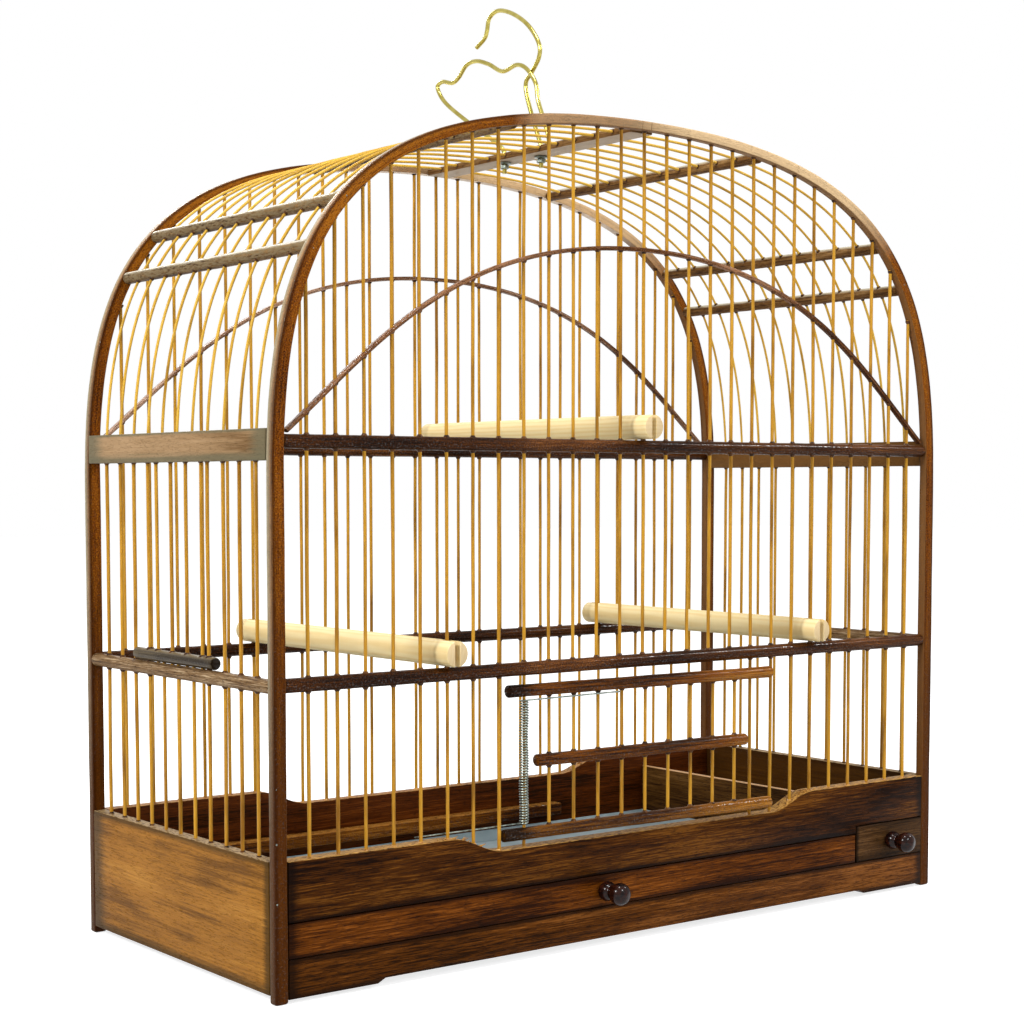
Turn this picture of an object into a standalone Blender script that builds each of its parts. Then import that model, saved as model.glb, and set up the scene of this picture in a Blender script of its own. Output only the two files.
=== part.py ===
"""Arched bird cage of varnished hardwood and cane bars, hung from a wire hook.

Lengths are in metres. X runs from left to right, Y from front to back and Z up; the feet stand on Z = 0 and
the origin lies under the middle of the whole cage, knobs and perch ends included. Two bent hoops are the
corner posts and the arched gables. Planks, panels and rails butt between them, bars stand in the rails, and
seven front-to-back members carry the roof bars. Two drawers, a sprung front door, a lifting side door and
three perches move.
"""

import math

import bmesh
import bpy
from mathutils import Matrix, Vector

# Overall size
WIDTH = 0.420
DEPTH = 0.180
SEAT_GAP = 0.0003

# Hoops: straight legs, leaning shoulders and a flat crown
HOOP_DEPTH = 0.0050
LEG_WIDTH = 0.0066
CROWN_WIDTH = 0.0046
CROWN_HEIGHT = 0.3965
SHOULDER_START = 0.225
SHOULDER_HEIGHT = 0.112
CROWN_PULL = 0.040
HOOP_STEPS = 12

# Cane bars
BAR_RADIUS = 0.0011
FRONT_BARS = 27
FRONT_END_SPACE = 0.01269
SIDE_BARS = 11
SIDE_END_SPACE = 0.0135
GUIDE_PLAY = 0.0004

# Base
SILL_TOP = 0.0616
SILL_DIP = 0.0084
DIP_FLOOR = 0.087
DIP_SHOULDER = 0.117
FRONT_SILL_THICKNESS = 0.0090
REAR_SILL_THICKNESS = 0.0070
SILL_BASE = 0.0350
BOTTOM_RAIL_TOP = 0.0190
BOTTOM_RAIL_BASE = 0.0018
RELIEF = 0.0020
RELIEF_INSET = 0.0545
PANEL_BASE = 0.0036
PARTITION_THICKNESS = 0.0036
PARTITION_TOP = 0.0525
RUNNER_WIDTH = 0.0090
RUNNER_HEIGHT = 0.0040
BATTEN_BASE = 0.0310
BATTEN_HEIGHT = 0.0068
BATTEN_DEPTH = 0.0080
BATTEN_END = 0.0800

# Drawers
SMALL_DRAWER_WIDTH = 0.0525
SMALL_DRAWER_TOP = 0.0392
DRAWER_PLAY = 0.0005
DRAWER_FRONT_THICKNESS = 0.0080
TRAY_WALL = 0.0006
TRAY_TOP = 0.0262
SMALL_BOX_WALL = 0.0028
SMALL_BOX_TOP = 0.0370
TRAY_END_PLAY = 0.0015
MAIN_KNOB_SHIFT = -0.0007
MAIN_KNOB_Z = 0.0270
SMALL_KNOB_SHIFT = 0.0001
SMALL_KNOB_Z = 0.0290
KNOB_RADIUS = 0.0054
KNOB_COLLAR = 0.0048
KNOB_NECK = 0.0031
KNOB_REACH = 0.0165

# Rails and inner arches
MID_RAIL_Z = 0.1369
MID_RAIL_RADIUS = 0.0033
UPPER_RAIL_HEIGHT = 0.0081
UPPER_RAIL_RADIUS = 0.0032
SIDE_RAIL_Z = 0.1365
UPPER_PLANK_BASE = 0.2328
UPPER_PLANK_HEIGHT = 0.0136
UPPER_PLANK_THICKNESS = 0.0060
ARCH_TOP = 0.3355
ARCH_FOOT_DROP = 0.0002
ARCH_THICKNESS = 0.0022
ARCH_DEPTH = 0.0036
ARCH_FOOT_PULL = 0.060
ARCH_FOOT_SLOPE = 0.83
ARCH_TOP_PULL = 0.110
ARCH_STEPS = 16

# Roof members
ROOF_ROD_RADIUS = 0.0031
LEFT_ROD_INSETS = (0.0200, 0.0360)
RIGHT_ROD_INSETS = (0.0220, 0.0395)
CROWN_ROD_X = 0.0790
BOARD_WIDTH = 0.0140
BOARD_THICKNESS = 0.0036
BOARD_SET_DOWN = 0.0017

# Front door, hung on the ninth bar
HINGE_BAR = 9
DOOR_BARS = 9
DOOR_ROD_RADIUS = 0.0031
DOOR_TOP_Z = 0.1267
DOOR_MID_Z = 0.0932
DOOR_BOTTOM_Z = 0.0594
DOOR_TOP_STUB = 0.0095
DOOR_BOTTOM_STUB = 0.0124
DOOR_END = 0.0098
DOOR_MID_START = 0.0070
DOOR_MID_END = 0.0075
SPRING_TURNS = 34
SPRING_WIRE = 0.00075
SPRING_COIL_RADIUS = 0.0019
SPRING_TOP_LEG = 0.0560
SPRING_BOTTOM_LEG = 0.0610
SPRING_POINTS = 8

# Side door, lifted on the bars above it
SIDE_DOOR_BARS = 3
SIDE_DOOR_FIRST = -1
SIDE_DOOR_RADIUS = 0.0029
SIDE_DOOR_FRONT_END = 0.0059
SIDE_DOOR_REAR_PLAY = 0.0007
GUIDE_OFFSET = 0.0060
PANEL_HOLE_DEPTH = 0.0045

# Perches
PERCH_RADIUS = 0.0060
PERCH_OVERHANG = 0.0050
PERCH_SLOT_REST = 0.0012
LOW_PERCH_BAR = 6
HIGH_PERCH_BAR = 14

# Hanger, over the middle of the depth
HOOK_HEIGHT = 0.0768
HANDLE_HEIGHT = 0.0527
WIRE_START = 0.0014
HANGER_WIRE = 0.0023
HANGER_OFFSET = 0.0015
HANDLE_NUT_Y = 0.0223
HANDLE_END_Y = -0.0150
HOOK_NUT_Y = -0.0048
TAIL_DROP = 0.0060
WASHER_RADIUS = 0.0036
WASHER_THICKNESS = 0.0008
NUT_RADIUS = 0.0029
NUT_THICKNESS = 0.0022

# Places worked out from the sizes above
MIDDLE = (KNOB_REACH + SEAT_GAP - PERCH_OVERHANG) / 2
FRONT = MIDDLE - DEPTH / 2
REAR = MIDDLE + DEPTH / 2
POST_INNER = WIDTH / 2 - LEG_WIDTH
SPAN_X = POST_INNER - SEAT_GAP
SPAN_FRONT = FRONT + HOOP_DEPTH + SEAT_GAP
SPAN_REAR = REAR - HOOP_DEPTH - SEAT_GAP
FRONT_BAR_Y = FRONT + MID_RAIL_RADIUS
REAR_BAR_Y = REAR - MID_RAIL_RADIUS
SIDE_RAIL_RADIUS = LEG_WIDTH / 2
SIDE_BAR_X = WIDTH / 2 - SIDE_RAIL_RADIUS
FRONT_PITCH = 2 * (POST_INNER - FRONT_END_SPACE) / (FRONT_BARS - 1)
SIDE_PITCH = (DEPTH - 2 * HOOP_DEPTH - 2 * SIDE_END_SPACE) / (SIDE_BARS - 1)
CROWN_SPREAD = WIDTH / 2 - CROWN_PULL
SMALL_DRAWER_LEFT = SPAN_X - SMALL_DRAWER_WIDTH
MAIN_KNOB_X = (SMALL_DRAWER_LEFT - SPAN_X) / 2 + MAIN_KNOB_SHIFT
SMALL_KNOB_X = (SMALL_DRAWER_LEFT + SPAN_X) / 2 + SMALL_KNOB_SHIFT
RELIEF_HALF = WIDTH / 2 - RELIEF_INSET
UPPER_PLANK_TOP = UPPER_PLANK_BASE + UPPER_PLANK_HEIGHT
UPPER_RAIL_Z = UPPER_PLANK_BASE + UPPER_RAIL_HEIGHT
ARCH_FOOT = UPPER_PLANK_TOP - ARCH_FOOT_DROP
BOARD_TOP = CROWN_HEIGHT - BOARD_SET_DOWN
RUNNER_TOP = BOTTOM_RAIL_TOP
HINGE_X = (HINGE_BAR - (FRONT_BARS + 1) / 2) * FRONT_PITCH
DOOR_STEP_FORWARD = BAR_RADIUS + DOOR_ROD_RADIUS + SEAT_GAP
DOOR_ANGLE = math.asin(DOOR_STEP_FORWARD / ((DOOR_BARS + 1) * FRONT_PITCH))
DOOR_REACH = (DOOR_BARS + 1) * FRONT_PITCH + DOOR_END
DOOR_MID_REACH = DOOR_BARS * FRONT_PITCH + DOOR_MID_END


def clear_scene():
    """Removes every object that the file held, so that the cage stands alone."""
    for item in list(bpy.data.objects):
        bpy.data.objects.remove(item)


clear_scene()
CAGE = bpy.data.collections.new("arched_bird_cage")
TOOLS = bpy.data.collections.new("cutters")
bpy.context.scene.collection.children.link(CAGE)
bpy.context.scene.collection.children.link(TOOLS)


def finish(name, colour, roughness, metallic=0.0):
    """A plain Principled finish."""
    material = bpy.data.materials.new(name)
    material.use_nodes = True
    shader = material.node_tree.nodes["Principled BSDF"]
    shader.inputs["Base Color"].default_value = (*colour, 1.0)
    shader.inputs["Roughness"].default_value = roughness
    shader.inputs["Metallic"].default_value = metallic
    return material


FINISHES = {
    "varnished_hoop": finish("varnished_hoop", (0.20, 0.065, 0.020), 0.32),
    "dark_rail": finish("dark_rail", (0.075, 0.026, 0.014), 0.30),
    "plank": finish("plank", (0.21, 0.088, 0.040), 0.42),
    "side_plank": finish("side_plank", (0.30, 0.155, 0.075), 0.48),
    "cane": finish("cane", (0.58, 0.31, 0.045), 0.35),
    "pine": finish("pine", (0.80, 0.66, 0.42), 0.60),
    "knob": finish("knob", (0.035, 0.018, 0.012), 0.18),
    "zinc": finish("zinc", (0.42, 0.44, 0.40), 0.42, 1.0),
    "brass": finish("brass", (0.66, 0.58, 0.24), 0.30, 1.0),
    "tray_metal": finish("tray_metal", (0.45, 0.48, 0.50), 0.48, 1.0),
}


def place(name, mesh, finish_name, location=(0.0, 0.0, 0.0), turn=None, group=None):
    """Puts a mesh or curve in the scene as the piece called name."""
    item = bpy.data.objects.new(name, mesh)
    item.location = location
    if turn is not None:
        item.rotation_euler = turn
    if finish_name:
        item.data.materials.append(FINISHES[finish_name])
    (group or CAGE).objects.link(item)
    return item


def hide_tool(item):
    """Marks a cutter or a joined blank: it shapes other pieces and isn't one itself."""
    for collection in list(item.users_collection):
        collection.objects.unlink(item)
    TOOLS.objects.link(item)
    item.hide_render = True
    item.display_type = "WIRE"
    return item


def block(name, low, high, finish_name):
    """A sawn block between two corners, its object at its own middle."""
    size = [b - a for a, b in zip(low, high)]
    middle = [(a + b) / 2 for a, b in zip(low, high)]
    mesh = bpy.data.meshes.new(name)
    shape = bmesh.new()
    bmesh.ops.create_cube(shape, size=1.0, matrix=Matrix.Diagonal((*size, 1.0)))
    shape.to_mesh(mesh)
    shape.free()
    return place(name, mesh, finish_name, middle)


def dowel(name, start, end, radius, sides, finish_name):
    """A round rod from start to end, its object at its own middle."""
    start, end = Vector(start), Vector(end)
    along = end - start
    mesh = bpy.data.meshes.new(name)
    shape = bmesh.new()
    bmesh.ops.create_cone(shape, cap_ends=True, segments=sides, radius1=radius, radius2=radius,
                          depth=along.length)
    shape.to_mesh(mesh)
    shape.free()
    shade_round(mesh)
    item = place(name, mesh, finish_name, (start + end) / 2)
    item.rotation_euler = along.to_track_quat("Z", "Y").to_euler()
    return item


def shade_round(mesh):
    """Smooth shading with the sharp edges kept."""
    mesh.shade_smooth()
    mesh.set_sharp_from_angle(angle=math.radians(40))


def as_mesh(item, finish_name):
    """Turns a curve object into a mesh object of the same name and place, with its caps welded."""
    bpy.context.view_layer.update()
    evaluated = item.evaluated_get(bpy.context.evaluated_depsgraph_get())
    mesh = bpy.data.meshes.new_from_object(evaluated)
    name, matrix = item.name, item.matrix_world.copy()
    bpy.data.objects.remove(item)
    shape = bmesh.new()
    shape.from_mesh(mesh)
    bmesh.ops.remove_doubles(shape, verts=shape.verts, dist=0.00002)
    shape.to_mesh(mesh)
    shape.free()
    mesh.name = name
    mesh.materials.clear()
    result = place(name, mesh, finish_name)
    result.matrix_world = matrix
    return result


def board(name, outline, thickness, centre, across, finish_name):
    """A flat outline sawn from a board. across is Y for an (x, z) outline, X for a (y, z) one."""
    curve = bpy.data.curves.new(name, "CURVE")
    curve.dimensions = "2D"
    curve.fill_mode = "BOTH"
    curve.extrude = thickness / 2
    line = curve.splines.new("POLY")
    line.points.add(len(outline) - 1)
    for point, (u, v) in zip(line.points, outline):
        point.co = (u, v, 0.0, 1.0)
    line.use_cyclic_u = True
    if across == "Y":
        item = place(name, curve, None, (0.0, centre, 0.0), (math.pi / 2, 0.0, 0.0))
    else:
        item = place(name, curve, None, (centre, 0.0, 0.0), (math.pi / 2, 0.0, math.pi / 2))
    return as_mesh(item, finish_name)


def wires(name, paths, radius, facets, finish_name):
    """One curve object with a tube of filled caps along each path. facets 1 gives six sides."""
    curve = bpy.data.curves.new(name, "CURVE")
    curve.dimensions = "3D"
    curve.bevel_depth = radius
    curve.bevel_resolution = facets
    curve.use_fill_caps = True
    curve.render_resolution_u = 0
    for path in paths:
        line = curve.splines.new("POLY")
        line.points.add(len(path) - 1)
        for point, place_of_point in zip(line.points, path):
            point.co = (*place_of_point, 1.0)
    return place(name, curve, finish_name)


def join(target, blank, operation="UNION"):
    """Joins a blank to the target, or cuts it out, and keeps the blank as a hidden tool."""
    modifier = target.modifiers.new(operation.lower(), "BOOLEAN")
    modifier.operation = operation
    modifier.object = hide_tool(blank)
    modifier.solver = "EXACT"
    return target


def cut(target, cutter):
    """Cuts a cutter out of the target."""
    return join(target, cutter, "DIFFERENCE")


def set_bars(carrier, paths):
    """Sets cane bars in the rail, strip or rod that carries them."""
    blank = wires(carrier.name + "_bars", paths, BAR_RADIUS, 1, None)
    return join(carrier, as_mesh(blank, "cane"))


def pivot(name, location, turn=0.0):
    """An empty on a joint's axis."""
    item = bpy.data.objects.new(name, None)
    item.location = location
    item.rotation_euler = (0.0, 0.0, turn)
    CAGE.objects.link(item)
    bpy.context.view_layer.update()
    return item


def hang(item, empty):
    """Parents a piece to its joint's empty and leaves it where it stands."""
    item.parent = empty
    item.matrix_parent_inverse = empty.matrix_world.inverted()
    return item


def bezier(a, b, c, d, t):
    """A cubic from a to d with handles at b and c."""
    s = 1.0 - t
    return tuple(s * s * s * p + 3 * s * s * t * q + 3 * s * t * t * r + t * t * t * w
                 for p, q, r, w in zip(a, b, c, d))


def hoop_line(t):
    """The hoop's outer line on its right half, from the shoulder's start (0) to the crown (1)."""
    foot, crown = (WIDTH / 2, SHOULDER_START), (0.0, CROWN_HEIGHT)
    return bezier(foot, (foot[0], foot[1] + SHOULDER_HEIGHT), (CROWN_SPREAD, crown[1]), crown, t)


def arch_line(t):
    """The inner arch's middle line on its right half, from its foot (0) to its top (1)."""
    foot, top = (ARCH_FOOT_X, ARCH_FOOT), (0.0, ARCH_TOP)
    reach = ARCH_FOOT_PULL / math.hypot(1.0, ARCH_FOOT_SLOPE)
    return bezier(foot, (foot[0] - reach, foot[1] + reach * ARCH_FOOT_SLOPE), (ARCH_TOP_PULL, top[1]), top, t)


def inset(line, t, distance):
    """The point at a distance inside a line, square to it."""
    step = 0.0005
    start, end = max(t - step, 0.0), min(t + step, 1.0)
    (x0, z0), (x1, z1) = line(start), line(end)
    length = math.hypot(x1 - x0, z1 - z0)
    x, z = line(t)
    return x - (z1 - z0) / length * distance, z + (x1 - x0) / length * distance


def solve(function, target, low=0.0, high=1.0):
    """The value between low and high where a steadily changing function reaches the target."""
    rising = function(high) > function(low)
    for _ in range(60):
        middle = (low + high) / 2
        if (function(middle) < target) == rising:
            low = middle
        else:
            high = middle
    return (low + high) / 2


def hoop_width(t):
    """The hoop's width in its own plane: full at the leg and slimmer at the crown."""
    return LEG_WIDTH + (CROWN_WIDTH - LEG_WIDTH) * t


def strip_edge(line, steps, distance):
    """The facets of an edge that lies inside a line by a distance, which is a function of the parameter."""
    return [inset(line, i / steps, distance(i / steps)) for i in range(steps + 1)]


def height_over(points, x):
    """The height of a faceted right half over x, from its outer end to the middle."""
    for (x0, z0), (x1, z1) in zip(points, points[1:]):
        if x1 <= abs(x) <= x0:
            return z0 + (z1 - z0) * (x0 - abs(x)) / (x0 - x1)
    return points[-1][1]


def width_at(points, height):
    """Half the clear width of a faceted right half at a height."""
    for (x0, z0), (x1, z1) in zip(points, points[1:]):
        if z0 <= height <= z1:
            return x0 + (x1 - x0) * (height - z0) / (z1 - z0)
    return points[0][0]


HOOP_INNER = strip_edge(hoop_line, HOOP_STEPS, hoop_width)
HOOP_INNER[-1] = (0.0, CROWN_HEIGHT - CROWN_WIDTH)
UPPER_RAIL_END = width_at(HOOP_INNER, UPPER_RAIL_Z + UPPER_RAIL_RADIUS) - SEAT_GAP
ARCH_FOOT_X = width_at(HOOP_INNER, ARCH_FOOT + ARCH_THICKNESS) - SEAT_GAP - ARCH_THICKNESS / 2
ARCH_UPPER = strip_edge(arch_line, ARCH_STEPS, lambda t: -ARCH_THICKNESS / 2)
ARCH_UPPER[-1] = (0.0, ARCH_TOP + ARCH_THICKNESS / 2)
ARCH_LOWER = strip_edge(arch_line, ARCH_STEPS, lambda t: ARCH_THICKNESS / 2)
ARCH_LOWER[-1] = (0.0, ARCH_TOP - ARCH_THICKNESS / 2)


def mirrored(points):
    """A right half from its outer end to the middle, followed by its left half."""
    return points + [(-x, z) for x, z in reversed(points) if x > 1e-9]


def hoop(name, middle_y):
    """A bent hoop: both posts and the gable in one strip."""
    outer = [(WIDTH / 2, 0.0)] + strip_edge(hoop_line, HOOP_STEPS, lambda t: 0.0)
    outer[-1] = (0.0, CROWN_HEIGHT)
    inner = [(POST_INNER, 0.0)] + HOOP_INNER
    outline = mirrored(outer) + list(reversed(mirrored(inner)))
    return board(name, outline, HOOP_DEPTH, middle_y, "Y", "varnished_hoop")


def dipped_top():
    """The sill's top edge from right to left, with the shallow dip under the door."""
    ramp = 7
    right = []
    for i in range(ramp):
        u = i / (ramp - 1)
        drop = SILL_DIP * (1 - math.cos(math.pi * u)) / 2
        right.append((DIP_SHOULDER + (DIP_FLOOR - DIP_SHOULDER) * u, SILL_TOP - drop))
    return [(SPAN_X, SILL_TOP)] + right + [(-x, z) for x, z in reversed(right)] + [(-SPAN_X, SILL_TOP)]


def sill_top(x):
    """The height of the sill's top at x."""
    u = (DIP_SHOULDER - abs(x)) / (DIP_SHOULDER - DIP_FLOOR)
    u = min(max(u, 0.0), 1.0)
    return SILL_TOP - SILL_DIP * (1 - math.cos(math.pi * u)) / 2


def sill_under(x):
    """The highest point of the sill under a bar that stands at x."""
    return max(sill_top(x - BAR_RADIUS), sill_top(x + BAR_RADIUS))


def bar_x(number):
    """The place of a front or rear bar, counted from the left."""
    return (number - (FRONT_BARS + 1) / 2) * FRONT_PITCH


def bar_end(edge, number):
    """Where a bar ends, just under the lower side of the sloping edge above it."""
    return height_over(edge, abs(bar_x(number)) + BAR_RADIUS) - SEAT_GAP


def side_y(step):
    """The place of a side or roof bar, counted from the middle."""
    return MIDDLE + step * SIDE_PITCH


def build_base():
    """Sills, panels, the bottom rail, and what the drawers run on."""
    notch = [(SMALL_DRAWER_LEFT, SILL_BASE), (SMALL_DRAWER_LEFT, SMALL_DRAWER_TOP),
             (SPAN_X, SMALL_DRAWER_TOP)]
    board("front_sill", [(-SPAN_X, SILL_BASE)] + notch + dipped_top(), FRONT_SILL_THICKNESS,
          FRONT + FRONT_SILL_THICKNESS / 2, "Y", "plank")
    board("rear_sill", [(-SPAN_X, PANEL_BASE), (SPAN_X, PANEL_BASE)] + dipped_top(), REAR_SILL_THICKNESS,
          REAR - REAR_SILL_THICKNESS / 2, "Y", "plank")
    raised = BOTTOM_RAIL_BASE + RELIEF
    right = [(RELIEF_HALF - RELIEF, raised), (RELIEF_HALF + RELIEF, BOTTOM_RAIL_BASE),
             (SPAN_X, BOTTOM_RAIL_BASE), (SPAN_X, BOTTOM_RAIL_TOP)]
    rail = [(-x, z) for x, z in reversed(right)] + right
    board("front_bottom_rail", rail, FRONT_SILL_THICKNESS, FRONT + FRONT_SILL_THICKNESS / 2, "Y", "plank")
    for side, name in ((-1, "left_panel"), (1, "right_panel")):
        ends = sorted((side * POST_INNER, side * WIDTH / 2))
        panel = block(name, (ends[0], SPAN_FRONT, PANEL_BASE), (ends[1], SPAN_REAR, SILL_TOP), "side_plank")
        if side < 0:
            cut(panel, side_door_holes("panel_holes", SILL_TOP - PANEL_HOLE_DEPTH, SILL_TOP + SEAT_GAP))
    low, high = FRONT + FRONT_SILL_THICKNESS + SEAT_GAP, REAR - REAR_SILL_THICKNESS - SEAT_GAP
    inside = POST_INNER - SEAT_GAP
    middles = {"left_runner": -inside + RUNNER_WIDTH / 2, "right_runner": inside - RUNNER_WIDTH / 2,
               "centre_runner": SMALL_DRAWER_LEFT}
    for name, x in middles.items():
        block(name, (x - RUNNER_WIDTH / 2, low, RUNNER_TOP - RUNNER_HEIGHT),
              (x + RUNNER_WIDTH / 2, high, RUNNER_TOP), "side_plank")
    block("partition", (SMALL_DRAWER_LEFT - PARTITION_THICKNESS / 2, low,
                        RUNNER_TOP + SEAT_GAP),
          (SMALL_DRAWER_LEFT + PARTITION_THICKNESS / 2, high, PARTITION_TOP), "side_plank")
    block("rear_batten", (-inside, high - BATTEN_DEPTH, BATTEN_BASE),
          (BATTEN_END, high, BATTEN_BASE + BATTEN_HEIGHT), "plank")


def knob(name, x, z, empty):
    """A turned knob: a collar, a neck and a ball, on a drawer front."""
    profile = [(0.0, 0.0), (KNOB_COLLAR * 0.85, 0.0), (KNOB_COLLAR, 0.0026), (KNOB_COLLAR * 0.8, 0.0051),
               (KNOB_NECK, 0.0064), (KNOB_NECK * 1.25, 0.0074), (KNOB_RADIUS * 0.88, 0.0090),
               (KNOB_RADIUS, 0.0115), (KNOB_RADIUS * 0.86, 0.0142), (KNOB_RADIUS * 0.48, KNOB_REACH - 0.0005),
               (0.0, KNOB_REACH)]
    mesh = bpy.data.meshes.new(name)
    mesh.from_pydata([(radius, 0.0, height) for radius, height in reversed(profile)],
                     [(i, i + 1) for i in range(len(profile) - 1)], [])
    item = place(name, mesh, "knob", (x, FRONT - SEAT_GAP, z), (math.pi / 2, 0.0, 0.0))
    turning = item.modifiers.new("turning", "SCREW")
    turning.axis = "Z"
    turning.steps = 14
    turning.render_steps = 14
    turning.use_merge_vertices = True
    turning.merge_threshold = 0.00001
    turning.use_smooth_shade = True
    return hang(item, empty)


def open_box(name, low, high, wall, finish_name):
    """A tray: a block hollowed from above."""
    item = block(name, low, high, finish_name)
    inner_low = (low[0] + wall, low[1] + wall, low[2] + wall)
    inner_high = (high[0] - wall, high[1] - wall, high[2] + wall)
    return cut(item, block(name + "_hollow", inner_low, inner_high, finish_name))


def build_drawers():
    """The wide seed tray and the small drawer beside it, each with its front and its knob."""
    back_of_front = FRONT + DRAWER_FRONT_THICKNESS
    inside_rear = REAR - REAR_SILL_THICKNESS - TRAY_END_PLAY
    floor = RUNNER_TOP + SEAT_GAP
    left_of_partition = SMALL_DRAWER_LEFT - PARTITION_THICKNESS / 2
    right_of_partition = SMALL_DRAWER_LEFT + PARTITION_THICKNESS / 2
    main = pivot("main_drawer_slide", (MAIN_KNOB_X, FRONT, MAIN_KNOB_Z))
    hang(block("main_drawer_front", (-SPAN_X, FRONT, floor),
               (SMALL_DRAWER_LEFT - DRAWER_PLAY, back_of_front, SILL_BASE - DRAWER_PLAY), "plank"), main)
    hang(open_box("seed_tray", (-SPAN_X + DRAWER_PLAY, back_of_front + SEAT_GAP, floor),
                  (left_of_partition - DRAWER_PLAY, inside_rear, TRAY_TOP), TRAY_WALL, "tray_metal"), main)
    knob("main_drawer_knob", MAIN_KNOB_X, MAIN_KNOB_Z, main)
    small = pivot("small_drawer_slide", (SMALL_KNOB_X, FRONT, SMALL_KNOB_Z))
    hang(block("small_drawer_front", (SMALL_DRAWER_LEFT + DRAWER_PLAY, FRONT, floor),
               (SPAN_X, back_of_front, SMALL_DRAWER_TOP - DRAWER_PLAY), "plank"), small)
    hang(open_box("small_drawer_box", (right_of_partition + DRAWER_PLAY, back_of_front + SEAT_GAP, floor),
                  (SPAN_X - DRAWER_PLAY, inside_rear, SMALL_BOX_TOP), SMALL_BOX_WALL, "side_plank"), small)
    knob("small_drawer_knob", SMALL_KNOB_X, SMALL_KNOB_Z, small)


def build_gable(end, bar_y, middle_y, has_door):
    """The front or rear wall above its sill: hoop, rails, inner arch and the bars that they carry."""
    hoop(end + "_hoop", middle_y)
    numbers = range(1, FRONT_BARS + 1)
    door = range(HINGE_BAR, HINGE_BAR + DOOR_BARS + 1) if has_door else ()
    rail = dowel(end + "_mid_rail", (-SPAN_X, bar_y, MID_RAIL_Z), (SPAN_X, bar_y, MID_RAIL_Z),
                 MID_RAIL_RADIUS, 12, "dark_rail")
    under_upper = UPPER_RAIL_Z - UPPER_RAIL_RADIUS - SEAT_GAP
    paths = []
    for number in numbers:
        x = bar_x(number)
        foot = MID_RAIL_Z if number in door else sill_under(x) + SEAT_GAP
        paths.append([(x, bar_y, foot), (x, bar_y, under_upper)])
    set_bars(rail, paths)
    rail = dowel(end + "_upper_rail", (-UPPER_RAIL_END, bar_y, UPPER_RAIL_Z),
                 (UPPER_RAIL_END, bar_y, UPPER_RAIL_Z), UPPER_RAIL_RADIUS, 12, "dark_rail")
    set_bars(rail, [[(bar_x(n), bar_y, UPPER_RAIL_Z), (bar_x(n), bar_y, bar_end(ARCH_LOWER, n))]
                    for n in numbers])
    strip = mirrored(ARCH_UPPER) + list(reversed(mirrored(ARCH_LOWER)))
    arch = board(end + "_inner_arch", strip, ARCH_DEPTH, bar_y, "Y", "dark_rail")
    set_bars(arch, [[(bar_x(n), bar_y, height_over(ARCH_LOWER, bar_x(n)) + ARCH_THICKNESS / 2),
                     (bar_x(n), bar_y, bar_end(HOOP_INNER, n))] for n in numbers])


def side_door_holes(name, low, high):
    """Cutters for the holes that the side door's bars slide in, between two heights."""
    paths = []
    for i in range(SIDE_DOOR_BARS):
        y = side_y(SIDE_DOOR_FIRST + i)
        paths.append([(-SIDE_BAR_X, y, low), (-SIDE_BAR_X, y, high)])
    return as_mesh(wires(name, paths, BAR_RADIUS + GUIDE_PLAY, 1, None), None)


def door_neighbours():
    """The whole bars before and behind the side door's own, which its rod slides on."""
    return SIDE_DOOR_FIRST - 1, SIDE_DOOR_FIRST + SIDE_DOOR_BARS


def guide_places():
    """Where the short bars over the side door stand, each behind one of the bars below."""
    return [side_y(k) + GUIDE_OFFSET for k in range(*door_neighbours())]


def build_side(side, name):
    """A side wall above its panel: the mid rail with its bars, and the upper plank."""
    x = side * SIDE_BAR_X
    has_door = side < 0
    rail = dowel(name + "_mid_rail", (x, SPAN_FRONT, SIDE_RAIL_Z), (x, SPAN_REAR, SIDE_RAIL_Z),
                 SIDE_RAIL_RADIUS, 12, "dark_rail")
    top = UPPER_PLANK_BASE - SEAT_GAP
    reach = SIDE_BARS // 2
    door = range(SIDE_DOOR_FIRST, SIDE_DOOR_FIRST + SIDE_DOOR_BARS) if has_door else ()
    paths = [[(x, side_y(k), SILL_TOP + SEAT_GAP), (x, side_y(k), top)]
             for k in range(-reach, reach + 1) if k not in door]
    if has_door:
        paths += [[(x, y, SIDE_RAIL_Z), (x, y, top)] for y in guide_places()]
    set_bars(rail, paths)
    if has_door:
        cut(rail, side_door_holes("rail_holes", SIDE_RAIL_Z - LEG_WIDTH, SIDE_RAIL_Z + LEG_WIDTH))
    outer = side * WIDTH / 2
    ends = sorted((outer, outer - side * UPPER_PLANK_THICKNESS))
    block(name + "_upper_plank", (ends[0], SPAN_FRONT, UPPER_PLANK_BASE),
          (ends[1], SPAN_REAR, UPPER_PLANK_TOP), "side_plank")


def roof_path(start, end, points):
    """Points along the roof bars' line, which runs a rod's radius inside the hoop's outer line."""
    step = (end - start) / (points - 1)
    return [inset(hoop_line, start + step * i, ROOF_ROD_RADIUS) for i in range(points)]


def stop_before(t_rod):
    """The parameter where a bar that climbs to a rod ends, just clear of it."""
    x0, z0 = inset(hoop_line, t_rod, ROOF_ROD_RADIUS)

    def distance(t):
        x, z = inset(hoop_line, t, ROOF_ROD_RADIUS)
        return math.hypot(x - x0, z - z0)

    return solve(distance, ROOF_ROD_RADIUS + SEAT_GAP, 0.0, t_rod)


def roof_rod(name, side, t, bars):
    """A front-to-back roof rod at t on the hoop, with a run of roof bars through or from it."""
    x, z = inset(hoop_line, t, ROOF_ROD_RADIUS)
    rod = dowel(name, (side * x, SPAN_FRONT, z), (side * x, SPAN_REAR, z), ROOF_ROD_RADIUS, 10, "dark_rail")
    reach = SIDE_BARS // 2
    set_bars(rod, [[(side * px, side_y(k), pz) for px, pz in bars] for k in range(-reach, reach + 1)])


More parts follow.
